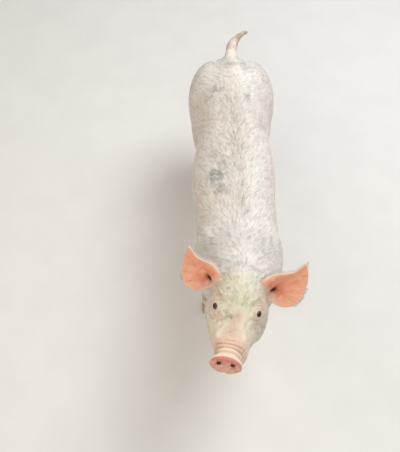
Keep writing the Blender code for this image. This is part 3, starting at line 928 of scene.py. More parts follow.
    def even_joints(self) -> None:
        """Takes the corners off the hocks and off the poll, between the ears."""
        clay = self.clay
        _, y, z = clay.co.T
        hock = ease(z, 0.135, 0.155) * ease(z, 0.225, 0.205) * (y > 0.2)
        clay.relax(40, 0.5 * hock, swell=0.3)
        x, y, z = HEAD.inward(clay.co).T
        poll = ease(y, 0.180, 0.200) * ease(y, 0.310, 0.280) * ease(z, 0.005, 0.030)
        poll = poll * ease(np.abs(x), 0.065, 0.045)
        beyond = self.soften(nearest_node(clay.co) >= FLESH.index(EARS[0]), 3)
        clay.relax(50, 0.5 * poll * (1 - beyond), swell=0.2)

    def press_folds(self) -> None:
        """Creases and ridges along lines laid on the skin, with the painted shade kept for each crease."""
        tree, co = self.clay.tree(), self.clay.co
        normals = self.clay.normals()
        moved, crease = np.zeros(len(co)), np.zeros(len(co))
        for fold in FOLDS:
            for line in fold.lines(tree):
                rise = fold.height(co, line)
                moved += rise
                # painted shade: the deeper the crease, the darker it is painted
                deep = np.clip(rise / (fold.rise * MM), 0, 1) * (fold.rise < 0)
                crease = np.maximum(crease, fold.crease_shade * deep)
        self.marks["crease"] = crease
        co += normals * moved[:, None]

    def mark(self) -> None:
        """Writes the markings that skin and coat share, one value per point."""
        self.fields = Markings(self).fields(self.clay.co, self.clay.normals())
        write_fields(self.obj.data, self.fields)

    def unwrap(self) -> None:
        """Unwraps the skin's own shape onto its map."""
        bpy.ops.object.select_all(action="DESELECT")
        self.obj.select_set(True)
        bpy.context.view_layer.objects.active = self.obj
        self.obj.data.uv_layers.new(name=BAKE_MAP)
        bpy.ops.object.mode_set(mode="EDIT")
        bpy.ops.mesh.select_all(action="SELECT")
        bpy.ops.uv.smart_project(angle_limit=1.15, island_margin=0.002, scale_to_bounds=False)
        bpy.ops.object.mode_set(mode="OBJECT")


@dataclass
class Teats:
    """Two rows of small teats along the belly."""

    skin: Skin
    rows: tuple = (-0.030, 0.030)
    first: float = -0.105  # along the belly, from the front pair to the last one
    last: float = 0.215
    pairs: int = 7
    height: float = 3.4 * MM

    def found(self) -> list[Array]:
        """Finds where the teats stand, by looking up at the belly.

        Returns:
            Their places.
        """
        tree = self.skin.clay.tree()
        self.places = []
        for y in np.linspace(self.first, self.last, self.pairs):
            for x in self.rows:
                inward = 1 - 0.25 * ease(np.array(y), 0.05, 0.25)  # the rows close in towards the groin
                hit = tree.ray_cast(Vector((x * inward, y, 0.1)), Vector((0, 0, 1)))
                if hit[0] is not None:
                    self.places.append(np.array(hit[0]))
        return self.places

    def rise(self) -> None:
        """Raises the teats and keeps how near each point is to one."""
        clay = self.skin.clay
        normals = clay.normals()
        for place in self.places:
            d = np.linalg.norm(clay.co - place, axis=1)
            clay.co += normals * (self.height * ease(d, 0.0040, 0.0016))[:, None]
        self.near = ease(self.skin.nearest(self.places), 0.010, 0.004)


@dataclass
class Snout:
    """The rooting disc: a raised rim, shallow face, groove behind it, notch below and open nostrils."""

    skin: Skin
    half: tuple = (0.0340, 0.0238)  # half width and half height
    wall: float = 0.975  # where the disc's wall stands, as a share of them
    nostril: tuple = (0.0145, 0.0055)  # out from the middle and up
    bore: tuple = (0.0040, 0.0047)  # a nostril's half width and half height
    squeezed: tuple = (0.0050, 0.0060)  # how far round it the flesh is drawn in
    squeeze: float = -0.26
    rim: float = 1.0  # from here on, heights and depths in mm
    dish: float = 1.0
    lip: float = 0.7  # round each nostril
    furrow: float = 0.45  # down the middle
    groove: float = 2.2  # behind the disc
    notch: float = 0.9  # in the lower edge

    def around(self, x: Array, z: Array) -> Array:
        """How far out each place is, with the disc's edge at 1."""
        return np.hypot(x / self.half[0], z / self.half[1])

    def true_up(self, facing: Array) -> None:
        """Brings the disc's wall to one outline and draws the nostrils in.

        Args:
            facing: how far each point faces out of the disc.
        """
        clay = self.skin.clay
        at = HEAD.on_disc(clay.co)
        around = self.around(at[:, 0], at[:, 2])
        drum = ease(at[:, 1], 0.0120, 0.0095) * ease(np.abs(facing), 0.80, 0.50) * ease(around, 0.80, 0.90)
        at[:, ::2] *= (1 + drum * (self.wall / np.maximum(around, 0.1) - 1))[:, None]
        beside = np.stack([np.abs(at[:, 0]) - self.nostril[0], at[:, 2] - self.nostril[1]], 1)
        squeeze = self.squeeze * hill(np.hypot(*(beside / self.squeezed).T), 1, 0.6) * (at[:, 1] < 0.012)
        at[:, 0] += np.sign(at[:, 0]) * beside[:, 0] * squeeze
        at[:, 2] += beside[:, 1] * squeeze
        clay.co = HEAD.outward(at @ HEAD.to_disc)
        clay.relax(3, 0.35 * ease(at[:, 1], 0.016, 0.010) * (np.abs(at[:, 0]) < 0.04), swell=0.9)

    def shape(self) -> None:
        """Shapes the disc and keeps its markings, among them painted shade in and round the nostrils and a
        painted highlight along the disc's wall.
        """
        clay = self.skin.clay
        tilt = HEAD.disc_tilt
        facing = clay.normals() @ HEAD.turned(np.array((0, -math.cos(tilt), math.sin(tilt))))
        self.true_up(facing)
        x, y, z = HEAD.on_disc(clay.co).T
        normals = clay.normals()
        near = ease(np.abs(x), 0.050, 0.042)
        around = self.around(x, z)
        nose = np.hypot((np.abs(x) - self.nostril[0]) / self.bore[0], (z - self.nostril[1]) / self.bore[1])
        front = ease(y, 0.0075, 0.0035) * ease(facing, 0.05, 0.6) * near
        rise = self.rim * hill(around, 0.88, 0.09) * front
        rise -= self.dish * front * ease(around, 0.80, 0.45)
        rise += self.lip * front * hill(nose, 1.25, 0.30)
        rise -= self.furrow * front * hill(x, 0, 0.0016) * ease(z, 0.004, -0.004)
        rise -= self.groove * hill(y, 0.0155, 0.0026) * near * ease(around, 0.60, 0.80)
        rise -= self.notch * hill(x, 0, 0.0046) * ease(z, -0.012, -0.020) * ease(y, 0.012, 0.006)
        clay.co += normals * (MM * rise)[:, None]
        disc = np.clip(ease(y, 0.0138, 0.0108) * near, 0, 1)
        self.skin.marks |= {
            "disc": disc,
            "disc_top": ease(z, 0.15 * self.half[1], 0.62 * self.half[1]) * ease(y, 0.004, 0.001),
            # the disc's wall: paler skin, with a painted highlight along its edge
            "disc_edge": disc * ease(y, 0.0030, 0.0060),
            # painted shade round each nostril
            "nose_ring": hill(nose, 1.0, 0.55) * (y < 0.01),
            # painted shade, near black, inside each nostril
            "bore": ease(nose, 1.08, 0.75) * (y < 0.02),
        }


@dataclass
class EarHollow:
    """Ridges that fan out over the hollow of each ear, a fold by the canal and the deep canal itself."""

    skin: Skin
    ridge: float = 0.30  # heights and depths in mm
    lobe: float = 1.6
    canal: float = 6.0
    canal_half: tuple = (8.5 * MM, 6.0 * MM)  # along the ear and across it
    lobe_half: tuple = (9.0 * MM, 2.6 * MM)
    lobe_at: tuple = (1.0 * MM, -6.5 * MM)
    ridges: int = 17  # round a full turn about the canal

    def shape(self) -> None:
        """Shapes both hollows and keeps their markings."""
        skin, ears = self.skin, {}
        skin.region = nearest_node(skin.clay.co)
        normals = skin.clay.normals()
        for spot in EAR_SPOTS:
            mine, made = self.one(spot, normals)
            for key, values in made.items():
                ears[key] = np.where(mine, values, ears.get(key, 0.0))
        for key in ("ear_inside", "ear_hairy", "ear_rim"):
            ears[key] = skin.soften(ears[key], 1)
        skin.marks |= ears

    def one(self, spot: EarSpot, normals: Array) -> tuple[Array, Fields]:
        """Shapes one ear.

        Args:
            spot: the ear.
            normals: the direction out of the skin at each point.

        Returns:
            Which points are the ear's, and the markings there.
        """
        clay = self.skin.clay
        ear = self.skin.soften(self.skin.region == FLESH.index(spot.node), 2)
        along, across = spot.from_canal(clay.co)
        share, wide, out = spot.seen(clay.co)
        w = spot.width_share(clay.co)
        turn, far = np.arctan2(across, along), np.hypot(along, across)
        inner = ease(normals @ spot.face, -0.05, 0.25) * (np.abs(out) < 0.045) * (far < 0.12)
        fan = np.cos(turn * self.ridges + 0.9 + 0.4 * np.sin(far / 0.008))
        fan = fan * ease(far, 0.012, 0.03) * ease(share, 0.98, 0.7)
        mouth, lobe = (
            hill(along, at[0], half[0]) * hill(across, at[1], half[1])
            for at, half in (((0, 0), self.canal_half), (self.lobe_at, self.lobe_half))
        )
        rise = self.ridge * fan * ear + self.lobe * lobe - self.canal * mouth
        clay.co += spot.face * (inner * MM * rise)[:, None]
        rim = np.maximum(ease(w, 0.110, 0.02), 0.7 * ease(w, 0.955, 1.0)) * ease(share, -0.05, 0.12)
        slant = share + 5.0 * np.maximum(wide - 8.0 * MM, 0)
        hairy = ease(slant, 0.05, -0.15)
        made = {
            "ear_inside": inner * ear * (1 - hairy),
            "ear_fan": turn,
            "ear_out": np.clip(share, 0, 1.1),
            # painted shade, near black, in the canal
            "ear_deep": inner * mouth,
            # the rim: its pale hair, with a painted highlight along the edge
            "ear_rim": np.maximum(rim, ease(share, 0.94, 1.0)) * ear,
            # painted shade that deepens towards the canal
            "ear_heart": hill(far, 0, 0.024),
            "ear_pale": np.maximum(ease(w, 0.55, 0.95), ease(share, 0.6, 1.0)),
            "ear_hairy": hairy * ear,
        }
        return (ear > 0.001) | (made["ear_deep"] > 0.02), made


@dataclass
class Lids:
    """The skin drawn over each eyeball outside its slit and behind it inside, with wrinkles round it."""

    skin: Skin
    thick: float = 1.1 * MM
    margin: float = 0.45  # how much thicker the lid is along its margin, as a share
    behind: float = 2.2 * MM  # how far under the ball's surface the skin goes inside the slit
    pitch: float = 3.1 * MM  # from one wrinkle to the next
    wrinkle: tuple = (0.60 * MM, 0.45 * MM)  # their height below the eye and above it
    crease: float = 1.1 * MM  # the fold over the upper lid

    def part(self) -> None:
        """Opens both eyes and keeps their markings."""
        keys, skin = ("lids", "lid_edge", "lid_pale"), self.skin
        skin.marks |= {key: np.zeros(len(skin.clay.co)) for key in keys}
        for spot in EYES.values():
            _, _, c, r = spot.seen(skin.clay.co)
            near = np.where((r < spot.radius + 0.022) & (c > -0.004))[0]
            for key, values in zip(keys, self.one(spot, near)):
                skin.marks[key][near] = np.maximum(skin.marks[key][near], values)

    def one(self, spot: EyeSpot, near: Array) -> tuple[Array, Array, Array]:
        """Shapes the lids of one eye.

        Args:
            spot: the eye.
            near: the numbers of the points round it.

        Returns:
            For each point how far it is wrinkled lid, painted darker in the grooves as painted shade, the
            lid's margin, its darker skin with painted shade where it meets the ball, and the pale skin beside
            that.
        """
        clay = self.skin.clay
        points = clay.co[near]
        apart = spot.beyond_lids(points)
        a, b, c, r = spot.seen(points)
        out = (points - spot.centre) / r[:, None]
        wrinkle = np.cos(apart / self.pitch * 2 * math.pi + 0.5 * np.sin(a / (3 * MM)))
        wrinkle *= ease(apart, 1.0 * MM, 3.0 * MM) * ease(apart, 13 * MM, 6 * MM)
        r = r + wrinkle * np.where(b < 0, *self.wrinkle)
        r = r + self.crease * hill(apart, 4.2 * MM, 1.5 * MM) * (b > 0)
        thick = self.thick * ease(apart, -0.1 * MM, 0.5 * MM)
        shut = np.maximum(r, spot.radius + thick * (1 + self.margin * hill(apart, 1.2 * MM, 1.1 * MM)))
        held = np.where(c > 0, ease(apart, 0.05 * MM, 0.45 * MM), 1.0)
        r = shut * held + (spot.radius - self.behind) * (1 - held)
        clay.co[near] = spot.centre + out * r[:, None]
        nasal = ease(HEAD.inward(points)[:, 0] * spot.side.sign, 0.055, 0.035)
        reach = (8 + 5 * ease(b, 0.004, -0.006) + 8 * nasal * ease(b, 0.012, 0.0)) * MM
        patch = ease(apart, reach, 1.0 * MM) * ease(c, -0.002, 0.004)
        # the lid's own darker skin, painted deeper in the wrinkles' grooves as painted shade
        lids = patch * (0.75 - 0.25 * np.clip(wrinkle, -1, 1))
        # the margin: its darker skin and painted shade where lid meets ball
        return lids, hill(apart, 0.1 * MM, 0.6 * MM) * (c > 0), hill(apart, 1.9 * MM, 1.3 * MM) * (c > 0)


# ---- markings
@dataclass(frozen=True)
class Spot:
    """A patch of dirt: where it is across and along, its radius, all in mm, and how dark it is."""

    x: float
    y: float
    radius: float
    depth: float


def spots_at(*places: tuple) -> tuple[Spot, ...]:
    """Makes one spot of each row of numbers."""
    return tuple(Spot(*place) for place in places)


GREY_SPOTS = spots_at(  # on the back, from above
    (-52, -7.5, 22, 1.0), (-43, -49.5, 16, 0.8), (-54, 56.5, 18, 0.45), (-29.5, 19.5, 20, 0.55),
    (-2, 56.5, 10, 0.5), (3, 10.5, 11, 0.6), (6, -40.5, 10, 0.55), (17, -110.5, 9, 0.7),
    (6, -87.5, 10, 0.4), (-45.8, 278.5, 15, 0.75), (-67.7, 256.5, 11, 0.6), (30.9, 249.8, 9, 0.8),
    (-8.5, 392.5, 9, 1.0), (4, 414.5, 8, 0.9), (-19.2, 363.2, 7, 0.8), (28, 404.5, 12, 0.5),
    (70, 172.5, 20, 0.3), (-80, -187.5, 22, 0.3),
)
FACE_SPOTS = spots_at(  # on the face, in the head's frame
    (-16, 101, 5.5, 1.0), (-7, 98.5, 4.8, 0.85), (-19, 93, 4.5, 0.5), (3, 103, 4.5, 0.35),
    (-6, 132, 6, 0.3), (5, 150, 6, 0.3), (42, 145, 3, 0.5), (-26, 108, 3.5, 0.4),
)


def dirt(spots: tuple[Spot, ...], x: Array, y: Array) -> Array:
    """Darkens the places under some spots.

    Args:
        spots: the spots.
        x: the places across.
        y: the places along.

    Returns:
        How dark each is, from 0 to 1.
    """
    found = np.zeros(len(x))
    for spot in spots:
        share = ease(np.hypot(x / MM - spot.x, y / MM - spot.y), spot.radius * 1.5, spot.radius * 0.25)
        found = np.maximum(found, spot.depth * share)
    return found


@dataclass
class Markings:
    """The colour fields of the animal: thin pink skin, which also paints shade on the flanks and underside,
    dust, soot and damp, with the painted shade and highlights that the skin's shaping leaves on the face,
    ears and snout.
    """

    skin: Skin
    face_lump: float = 0.022  # width of the cloudy lumps of colour on the face
    body_lump: float = 0.030
    body_patch: float = 0.090
    soil_lump: float = 0.02
    spine: float = 0.011  # half width of the dirty line along the back
    dusty: float = 0.030  # and of the dusty band

    def fields(self, points: Array, normals: Array) -> Fields:
        """Works out each field.

        Args:
            points: the skin's points.
            normals: the direction out of the skin at each.

        Returns:
            One array of 0 to 1 per field, by its name.
        """
        skin = self.skin
        region = nearest_node(points)
        is_ear = skin.soften(np.isin(region, [FLESH.index(n) for n in EARS]), 2)
        tail = skin.soften(region == FLESH.index("tail"), 1)
        h = HEAD.inward(points)
        on_head = ease(h[:, 1], 0.235, 0.195) * (1 - is_ear)
        found = {"is_ear": is_ear, "tail": tail, "on_head": on_head} | skin.marks
        found |= self.face(h, on_head) | self.body(points, normals, is_ear, tail)
        found["grey"] = np.maximum(found.pop("back_dirt"), found.pop("face_dirt"))
        found["pink"] = np.maximum(found["pink"], found.pop("bare"))
        return {key: np.clip(values, -4, 4) for key, values in found.items()}

    def face(self, h: Array, on_head: Array) -> Fields:
        """The muzzle's cream, the green forehead, the smear between the eyes, the bare places by the ears and
        a painted highlight on the swellings beside the bridge.

        Args:
            h: the skin's points in the head's frame.
            on_head: how far each is on the head.

        Returns:
            One array per field, by its name.
        """
        x, back, up = h.T
        cloud = waves(h, self.face_lump, 12)
        band = ease(back, 0.012, 0.018) * ease(back, 0.036, 0.031)
        muzzle = ease(back, 0.085, 0.045)
        lips = hill(up, -0.030, 0.012) * ease(back, 0.11, 0.06)
        green = ease(back, 0.095, 0.130) * ease(back, 0.205, 0.175) * ease(up, 0.012, 0.040)
        green = green * (0.45 + 0.8 * cloud) * ease(np.abs(x), 0.056, 0.030)
        bare = hill(np.abs(x), 0.033, 0.011) * hill(back, 0.206, 0.013) * (up > 0.03)
        # painted highlight on the swellings beside the bridge
        swell = hill(np.abs(x - 0.0025), 0.0325, 0.010) * hill(back, 0.062, 0.014)
        bridge = hill(x, 0, 0.016) * ease(back, 0.05, 0.07) * ease(back, 0.12, 0.10)
        return {
            "band": band * on_head,
            "face": ease(back, 0.210, 0.140) * on_head * (0.35 + 0.65 * ease(up, -0.055, -0.010)),
            "muzzle": np.maximum(muzzle, 0.8 * lips) * on_head,
            "green": np.clip(green, 0, 1) * on_head,
            "swell": swell * on_head,
            "bridge": bridge * on_head * (up > 0),
            "bare": bare * 0.6,
            "face_dirt": dirt(FACE_SPOTS, x, back) * (up > 0.0) * on_head,
        }

    def body(
        self, points: Array, normals: Array, is_ear: Array, tail: Array
    ) -> Fields:
        """The pink that shows where hair is thin, which also paints shade on the flanks and underside, the
        dirt on the back and the soil on legs and tail.

        Args:
            points: the skin's points.
            normals: the direction out of the skin at each.
            is_ear: how far each is on an ear.
            tail: how far each is on the tail.

        Returns:
            One array per field, by its name.
        """
        x, y, z = points.T
        upward = normals[:, 2]
        below = ease(-upward, 0.1, 0.8)
        side = ease(np.abs(normals[:, 0]), 0.35, 0.95)
        cloud, wide = waves(points, self.body_lump, 3), waves(points, self.body_patch, 4)
        # pink where hair is thin, and painted shade on the flanks and underside, as they face sideways and
        # down
        pink = 0.08 + 0.55 * below + 0.42 * side * (0.4 + wide) + 0.20 * (cloud - 0.5)
        pink = pink + 0.30 * hill(y, 0.255, 0.075) * side + 0.8 * self.skin.teats.near
        grey = dirt(GREY_SPOTS, x, y) * ease(upward, 0.2, 0.7) * (y > -0.28)
        spine = hill(x, 0, self.spine) * ease(y, -0.19, -0.10) * ease(y, 0.12, 0.06) * (upward > 0.6)
        soil = ease(z, 0.20, 0.06) * (0.55 + 0.6 * waves(points, self.soil_lump, 9))
        knees = ease(z, 0.20, 0.13) * ease(np.abs(y + 0.17), 0.06, 0.02) * ease(-normals[:, 1], 0.2, 0.8)
        soil = np.maximum(soil, 0.6 * knees) + 1.0 * tail * ease(y, 0.445, 0.500) + 0.25 * below * cloud
        dust = hill(x, 0.004, self.dusty) * ease(y, -0.17, -0.06) * ease(y, 0.32, 0.23)
        dust = dust * ease(upward, 0.4, 0.8)
        return {
            "pink": np.clip(pink, 0, 1) * (1 - is_ear),
            "dust": dust * (0.5 + 0.7 * wide),
            "back_dirt": np.maximum(grey, 0.45 * spine * cloud),
            "soil": np.clip(soil, 0, 1),
        }


# ---- finishes
class Paint:
    """One finish in the making: colours laid over one another, each as far as its shares let it show."""

    def __init__(self, name: str, colour: str) -> None:
        """Starts a finish.

        Args:
            name: what it is made of.
            colour: the first colour, as sRGB hex.
        """
        self.material = bpy.data.materials.new(name)
        self.material.use_nodes = True
        self.tree = self.material.node_tree
        self.place = add(self.tree, "TexCoord", out="Object")
        self.colour = linear(colour)

    def lay(self, colour: str, *shares: float | str | Socket) -> None:
        """Lays a colour over what is there.

        Args:
            colour: as sRGB hex.
            shares: numbers, names of markings or outputs, which are multiplied.
        """
        total, level = 1.0, None
        for share in shares:
            if isinstance(share, float):
                total *= share
                continue
            if isinstance(share, str):
                share = add(self.tree, "Attribute", attribute_name=share, out="Fac")
            if level is not None:
                share = add(self.tree, "Math", {0: level, 1: share}, operation="MULTIPLY")
            level = share
        if level is None:
            level = total
        elif total != 1.0:
            level = add(self.tree, "Math", {0: level, 1: total}, operation="MULTIPLY")
        feeds = {0: level, 6: self.colour, 7: linear(colour)}
        self.colour = add(self.tree, "Mix", feeds, out=2, data_type="RGBA")

    def lumps(self, size: float, low: float, high: float, stretch: tuple = (1, 1, 1)) -> Socket:
        """Cloudy lumps.

        Args:
            size: their width in mm.
            low: the noise value that gives 0; more of them show when it is lower.
            high: the noise value that gives 1.
            stretch: how much longer they are along each axis.

        Returns:
            A value from 0 to 1.
        """
        scale = tuple(1.0 / s for s in stretch)
        spread = add(self.tree, "Mapping", {"Vector": self.place, "Scale": scale})
        cloud = add(self.tree, "TexNoise", {"Vector": spread, "Scale": 500.0 / size, "Detail": 3.0})
        feeds = {"Value": cloud, "From Min": low, "From Max": high}
        return add(self.tree, "MapRange", feeds, interpolation_type="SMOOTHSTEP")

    def done(self, feeds: dict) -> Material:
        """Gives the surface its colour and its other values.

        Args:
            feeds: for each of the surface's inputs a value or an output.

        Returns:
            The finish.
        """
        shader = self.tree.nodes["Principled BSDF"]
        for key, value in ({"Base Color": self.colour} | feeds).items():
            if isinstance(value, Socket):
                self.tree.links.new(value, shader.inputs[key])
            else:
                shader.inputs[key].default_value = value
        return self.material


class Hide(Paint):
    """A finish of skin or hair, which share the animal's markings."""

    def markings(self, fade: float) -> None:
        """Lays the markings that skin and coat share.

        Args:
            fade: how much of the skin's own colours shows, which is less in the coat.
        """
        self.lay("E2D9BF", "face", 0.55)
        self.lay("B29076", "face", self.lumps(4.5, 0.54, 0.68), 0.40)
        self.lay("E6E7C3", "green", 0.70, self.lumps(4.5, 0.30, 0.60, (1, 2, 1)))
        self.lay("DDB8A0", "muzzle", 0.80 * fade)
        self.lay("C9A58B", "bridge", 0.75 * fade)
        self.lay("EEDCC6", "band", 0.75)
        # painted highlight on the swellings beside the bridge
        self.lay("F0DCCB", "swell", 0.7)
        # lid skin, with painted shade in the grooves of its wrinkles
        self.lay("C79C86", "lids", 0.50 + 0.30 * fade)
        self.lay("8D6F60", "lids", self.lumps(2.2, 0.56, 0.68), 0.45)
        self.lay("C2B7A6", "dust", 0.55)
        self.lay("957A5C", "soil", 0.75, self.lumps(14.0, 0.28, 0.62))
        self.lay("63665F", "grey", 0.66, self.lumps(5.0, 0.42, 0.58))
        self.lay("8C8D88", "grey", 0.30)


@dataclass(frozen=True)
class PigSkin:
    """Living pig's skin: thin, faintly damp and a little see-through.

    Light glows pink in it, more so in the ears, and pores and the grain of fine hair break the shine.
    """

    roughness: float = 0.52
    ior: float = 1.42
    glow: float = 0.12
    glow_depth: float = 4.0 * MM  # how far red light goes into it
    glow_share: tuple = (1.0, 0.45, 0.30)  # and how far the other colours go beside that
    pores: float = 420.0  # in a metre, which is one in 2.4 mm

    def material(self) -> Material:
        """Makes the skin with its folds, pores, ear, snout and lids.

        Returns:
            The finish.
        """
        hide = Hide("live_pig_skin", "F0E3D4")
        # pink where hair is thin, and painted shade on the flanks and underside
        hide.lay("E4B5A2", "pink", hide.lumps(26.0, 0.15, 0.70))
        hide.markings(1.0)
        # painted shade, dark red, in the creases of the folds
        hide.lay("C06C5C", "crease", 0.85)
        self.ear(hide)
        self.snout(hide)
        hide.lay("EAD0C0", "lid_pale", 0.45)
        # the lid's margin: its darker skin and painted shade where lid meets ball
        hide.lay("8F5A4B", "lid_edge", 0.9)
        damp = add(hide.tree, "Attribute", attribute_name="disc", out="Fac")
        grain = hide.lumps(3.0, 0.2, 0.8)
        rough = add(hide.tree, "Math", {0: damp, 1: -0.14, 2: self.roughness}, operation="MULTIPLY_ADD")
        rough = add(hide.tree, "Math", {0: grain, 1: 0.14, 2: rough}, operation="MULTIPLY_ADD")
        glow = {"Weight": self.glow, "Radius": self.glow_share, "Scale": self.glow_depth}
        feeds = {f"Subsurface {key}": value for key, value in glow.items()}
        return hide.done({"Roughness": rough, "Normal": self.relief(hide), "IOR": self.ior} | feeds)

    def ear(self, hide: Hide) -> None:
        """Lays the hollow of the ear: salmon, with painted shade deepening towards the canal and darkest in
        it, streaked along its fan, pale at the rim under a painted highlight.

        Args:
            hide: the skin's finish.
        """
        fan = add(hide.tree, "Attribute", attribute_name="ear_fan", out="Fac")
        out = add(hide.tree, "Attribute", attribute_name="ear_out", out="Fac")
        turned = add(hide.tree, "Math", {0: fan, 1: 9.0}, operation="MULTIPLY")
        lines = add(hide.tree, "CombineXYZ", {"X": turned, "Y": out})
        streak = add(hide.tree, "TexNoise", {"Vector": lines, "Scale": 3.2, "Detail": 3.0})
        streak = add(hide.tree, "MapRange", {"Value": streak, "From Min": 0.50, "From Max": 0.72})
        hide.lay("F2D5C4", "is_ear", 0.55)
        hide.lay("DDB89E", "ear_hairy", 0.85)
        hide.lay("F2AC8E", "ear_inside")
        hide.lay("EDB697", "ear_inside", "ear_pale", 0.75)
        # painted shade, red-brown, deepening towards the canal
        hide.lay("C9613F", "ear_inside", "ear_heart", 0.9)
        hide.lay("C96E52", "ear_inside", streak, 0.6)
        hide.lay("F4C9AF", "ear_inside", hide.lumps(7.0, 0.52, 0.68), 0.4)
        hide.lay("6A2A18", "ear_inside", hide.lumps(3.0, 0.69, 0.73), 0.7)
        # pale cream rim: its pale hair and a painted highlight along its edge
        hide.lay("FAEADB", "ear_rim", 0.85)
        # painted shade, near black, in the canal
        deep = add(hide.tree, "Attribute", attribute_name="ear_deep", out="Fac")
        hide.lay("561B0E", add(hide.tree, "MapRange", {"Value": deep, "From Min": 0.15, "From Max": 0.75}))

    def snout(self, hide: Hide) -> None:
        """Lays the rooting disc: pink, redder towards its upper edge under a cream rim with a painted
        highlight, with painted shade in and round the nostrils.

        Args:
            hide: the skin's finish.
        """
        hide.lay("DDAA97", "disc")
        hide.lay("D0706A", "disc", "disc_top", 0.75)
        hide.lay("A9705C", "disc", hide.lumps(6.0, 0.46, 0.64), 0.45)
        hide.lay("9A6A58", "disc", hide.lumps(4.5, 0.50, 0.68), 0.25)
        # cream wall of the disc: its paler skin and a painted highlight
        hide.lay("F3DAC5", "disc_edge", 0.90)
        # painted shade round the nostrils
        hide.lay("8F4A3B", "nose_ring", 0.75)
        # painted shade, near black, in the nostrils
        hide.lay("4A1D14", "bore", 0.9)

    def relief(self, hide: Hide) -> Socket:
        """Raises the grain of flat hair along the body, with pores and soft unevenness over it.

        Args:
            hide: the skin's finish.

        Returns:
            The direction of the surface.
        """
        grain = {"Height": hide.lumps(2.4, 0.2, 0.8, (1, 6, 2)), "Distance": 0.9 * MM, "Strength": 0.30}
        below = add(hide.tree, "Bump", grain)
        pores = add(hide.tree, "TexVoronoi", {"Vector": hide.place, "Scale": self.pores}, out="Distance")
        fine = {"Height": pores, "Distance": 0.5 * MM, "Strength": 0.22, "Normal": below}
        below = add(hide.tree, "Bump", fine)
        soft = {"Height": hide.lumps(9.0, 0.2, 0.8), "Distance": 1.2 * MM, "Strength": 0.2, "Normal": below}
        return add(hide.tree, "Bump", soft)


@dataclass(frozen=True)
class Bristle:
    """Pig's bristle, which is keratin: stiff, pale and slightly glossy, so the coat glints along its lie."""

    roughness: float = 0.50
    ior: float = 1.55

    def material(self) -> Material:
        """Makes the coat's finish, marked as the skin is.

        Returns:
            The finish.
        """
        hide = Hide("white_bristle", "FFFEF9")
        hide.lay("A8A294", "tone", 0.85)
        # pink where hair is thin, and painted shade on the flanks and underside
        hide.lay("EDD3C2", "pink", 0.36)
        hide.markings(0.45)
        hide.lay("9FA085", "green", "tone", 0.75)
        hide.lay("7F7565", "dust", "tone", 0.80)
        hide.lay("E7BCA2", "ear_hairy", 0.75)
        hide.lay("F3D3BD", "ear_inside", 0.6)
        return hide.done({"Roughness": self.roughness, "IOR": self.ior})


@dataclass(frozen=True)
class EyeGloss:
    """A live eye: dark brown iris and black pupil under a wet cornea, which gives one sharp light."""

    iris: str = "3A2114"
    rim: str = "140B07"
    pupil: str = "050404"
    white: str = "B99484"

    def material(self) -> Material:
        """Makes the eye; where its parts are is kept on the mesh.

        Returns:
            The finish.
        """
        paint = Paint("wet_eye", self.iris)
        turned = add(paint.tree, "Attribute", attribute_name="round_gaze", out="Fac")
        turned = add(paint.tree, "Math", {0: turned, 1: 6.0}, operation="MULTIPLY")
        rays = add(paint.tree, "CombineXYZ", {"X": turned})
        fibre = add(paint.tree, "TexNoise", {"Vector": rays, "Scale": 5.0, "Detail": 3.0})
        paint.lay(self.rim, fibre)
        paint.lay(self.pupil, "pupil")
        paint.lay(self.rim, "limbus")
        paint.lay(self.white, "white")
        return paint.done({"Roughness": 0.30, "IOR": 1.376, "Coat Weight": 0.5, "Coat Roughness": 0.02})


@dataclass(frozen=True)
class ClawHorn:
    """Horn of the claws: grown in rings, waxy, amber grey and scuffed at the toe."""

    fresh: str = "B79F80"
    dark: str = "6E5A45"
    band: float = 2.2  # mm from one growth ring to the next

    def material(self) -> Material:
        """Makes the horn with its rings, scuffs and dirt.

        Returns:
            The finish.
        """
        paint = Paint("claw_horn", self.fresh)
        scale = math.pi / 10 / (self.band * MM)
        feeds = {"Vector": paint.place, "Scale": scale, "Distortion": 1.5, "Detail": 2.0}
        rings = add(paint.tree, "TexWave", feeds, out="Fac", bands_direction="Z")
        high = add(paint.tree, "SeparateXYZ", {0: paint.place}, out="Z")
        worn = add(paint.tree, "MapRange", {"Value": high, "From Min": 14.0 * MM, "From Max": 1.0 * MM})
        paint.lay(self.dark, rings, 0.18)
        paint.lay(self.dark, worn, paint.lumps(6.0, 0.3, 0.6))
        uneven = paint.lumps(3.0, 0.2, 0.8)
        rough = add(paint.tree, "Math", {0: uneven, 1: 0.2, 2: 0.38}, operation="MULTIPLY_ADD")
        ridges = add(paint.tree, "Bump", {"Height": rings, "Distance": 0.25 * MM, "Strength": 0.4})
        scuffs = {"Height": paint.lumps(1.6, 0.2, 0.8, (1, 1, 5)), "Distance": 0.4 * MM, "Strength": 0.4}
        scuffed = add(paint.tree, "Bump", scuffs | {"Normal": ridges})
        return paint.done({"Roughness": rough, "Normal": scuffed, "IOR": 1.54})


@dataclass(frozen=True)
class StudioFloor:
    """Pale matt studio vinyl: even and faintly mottled, so that shadows read on it."""

    colour: str = "E4E2DE"
    mottle: str = "E1DFDB"

    def material(self) -> Material:
        """Makes the floor's finish.

        Returns:
            The finish.
        """
        paint = Paint("studio_vinyl", self.colour)
        paint.lay(self.mottle, paint.lumps(60.0, 0.3, 0.7))
        return paint.done({"Roughness": 0.75})


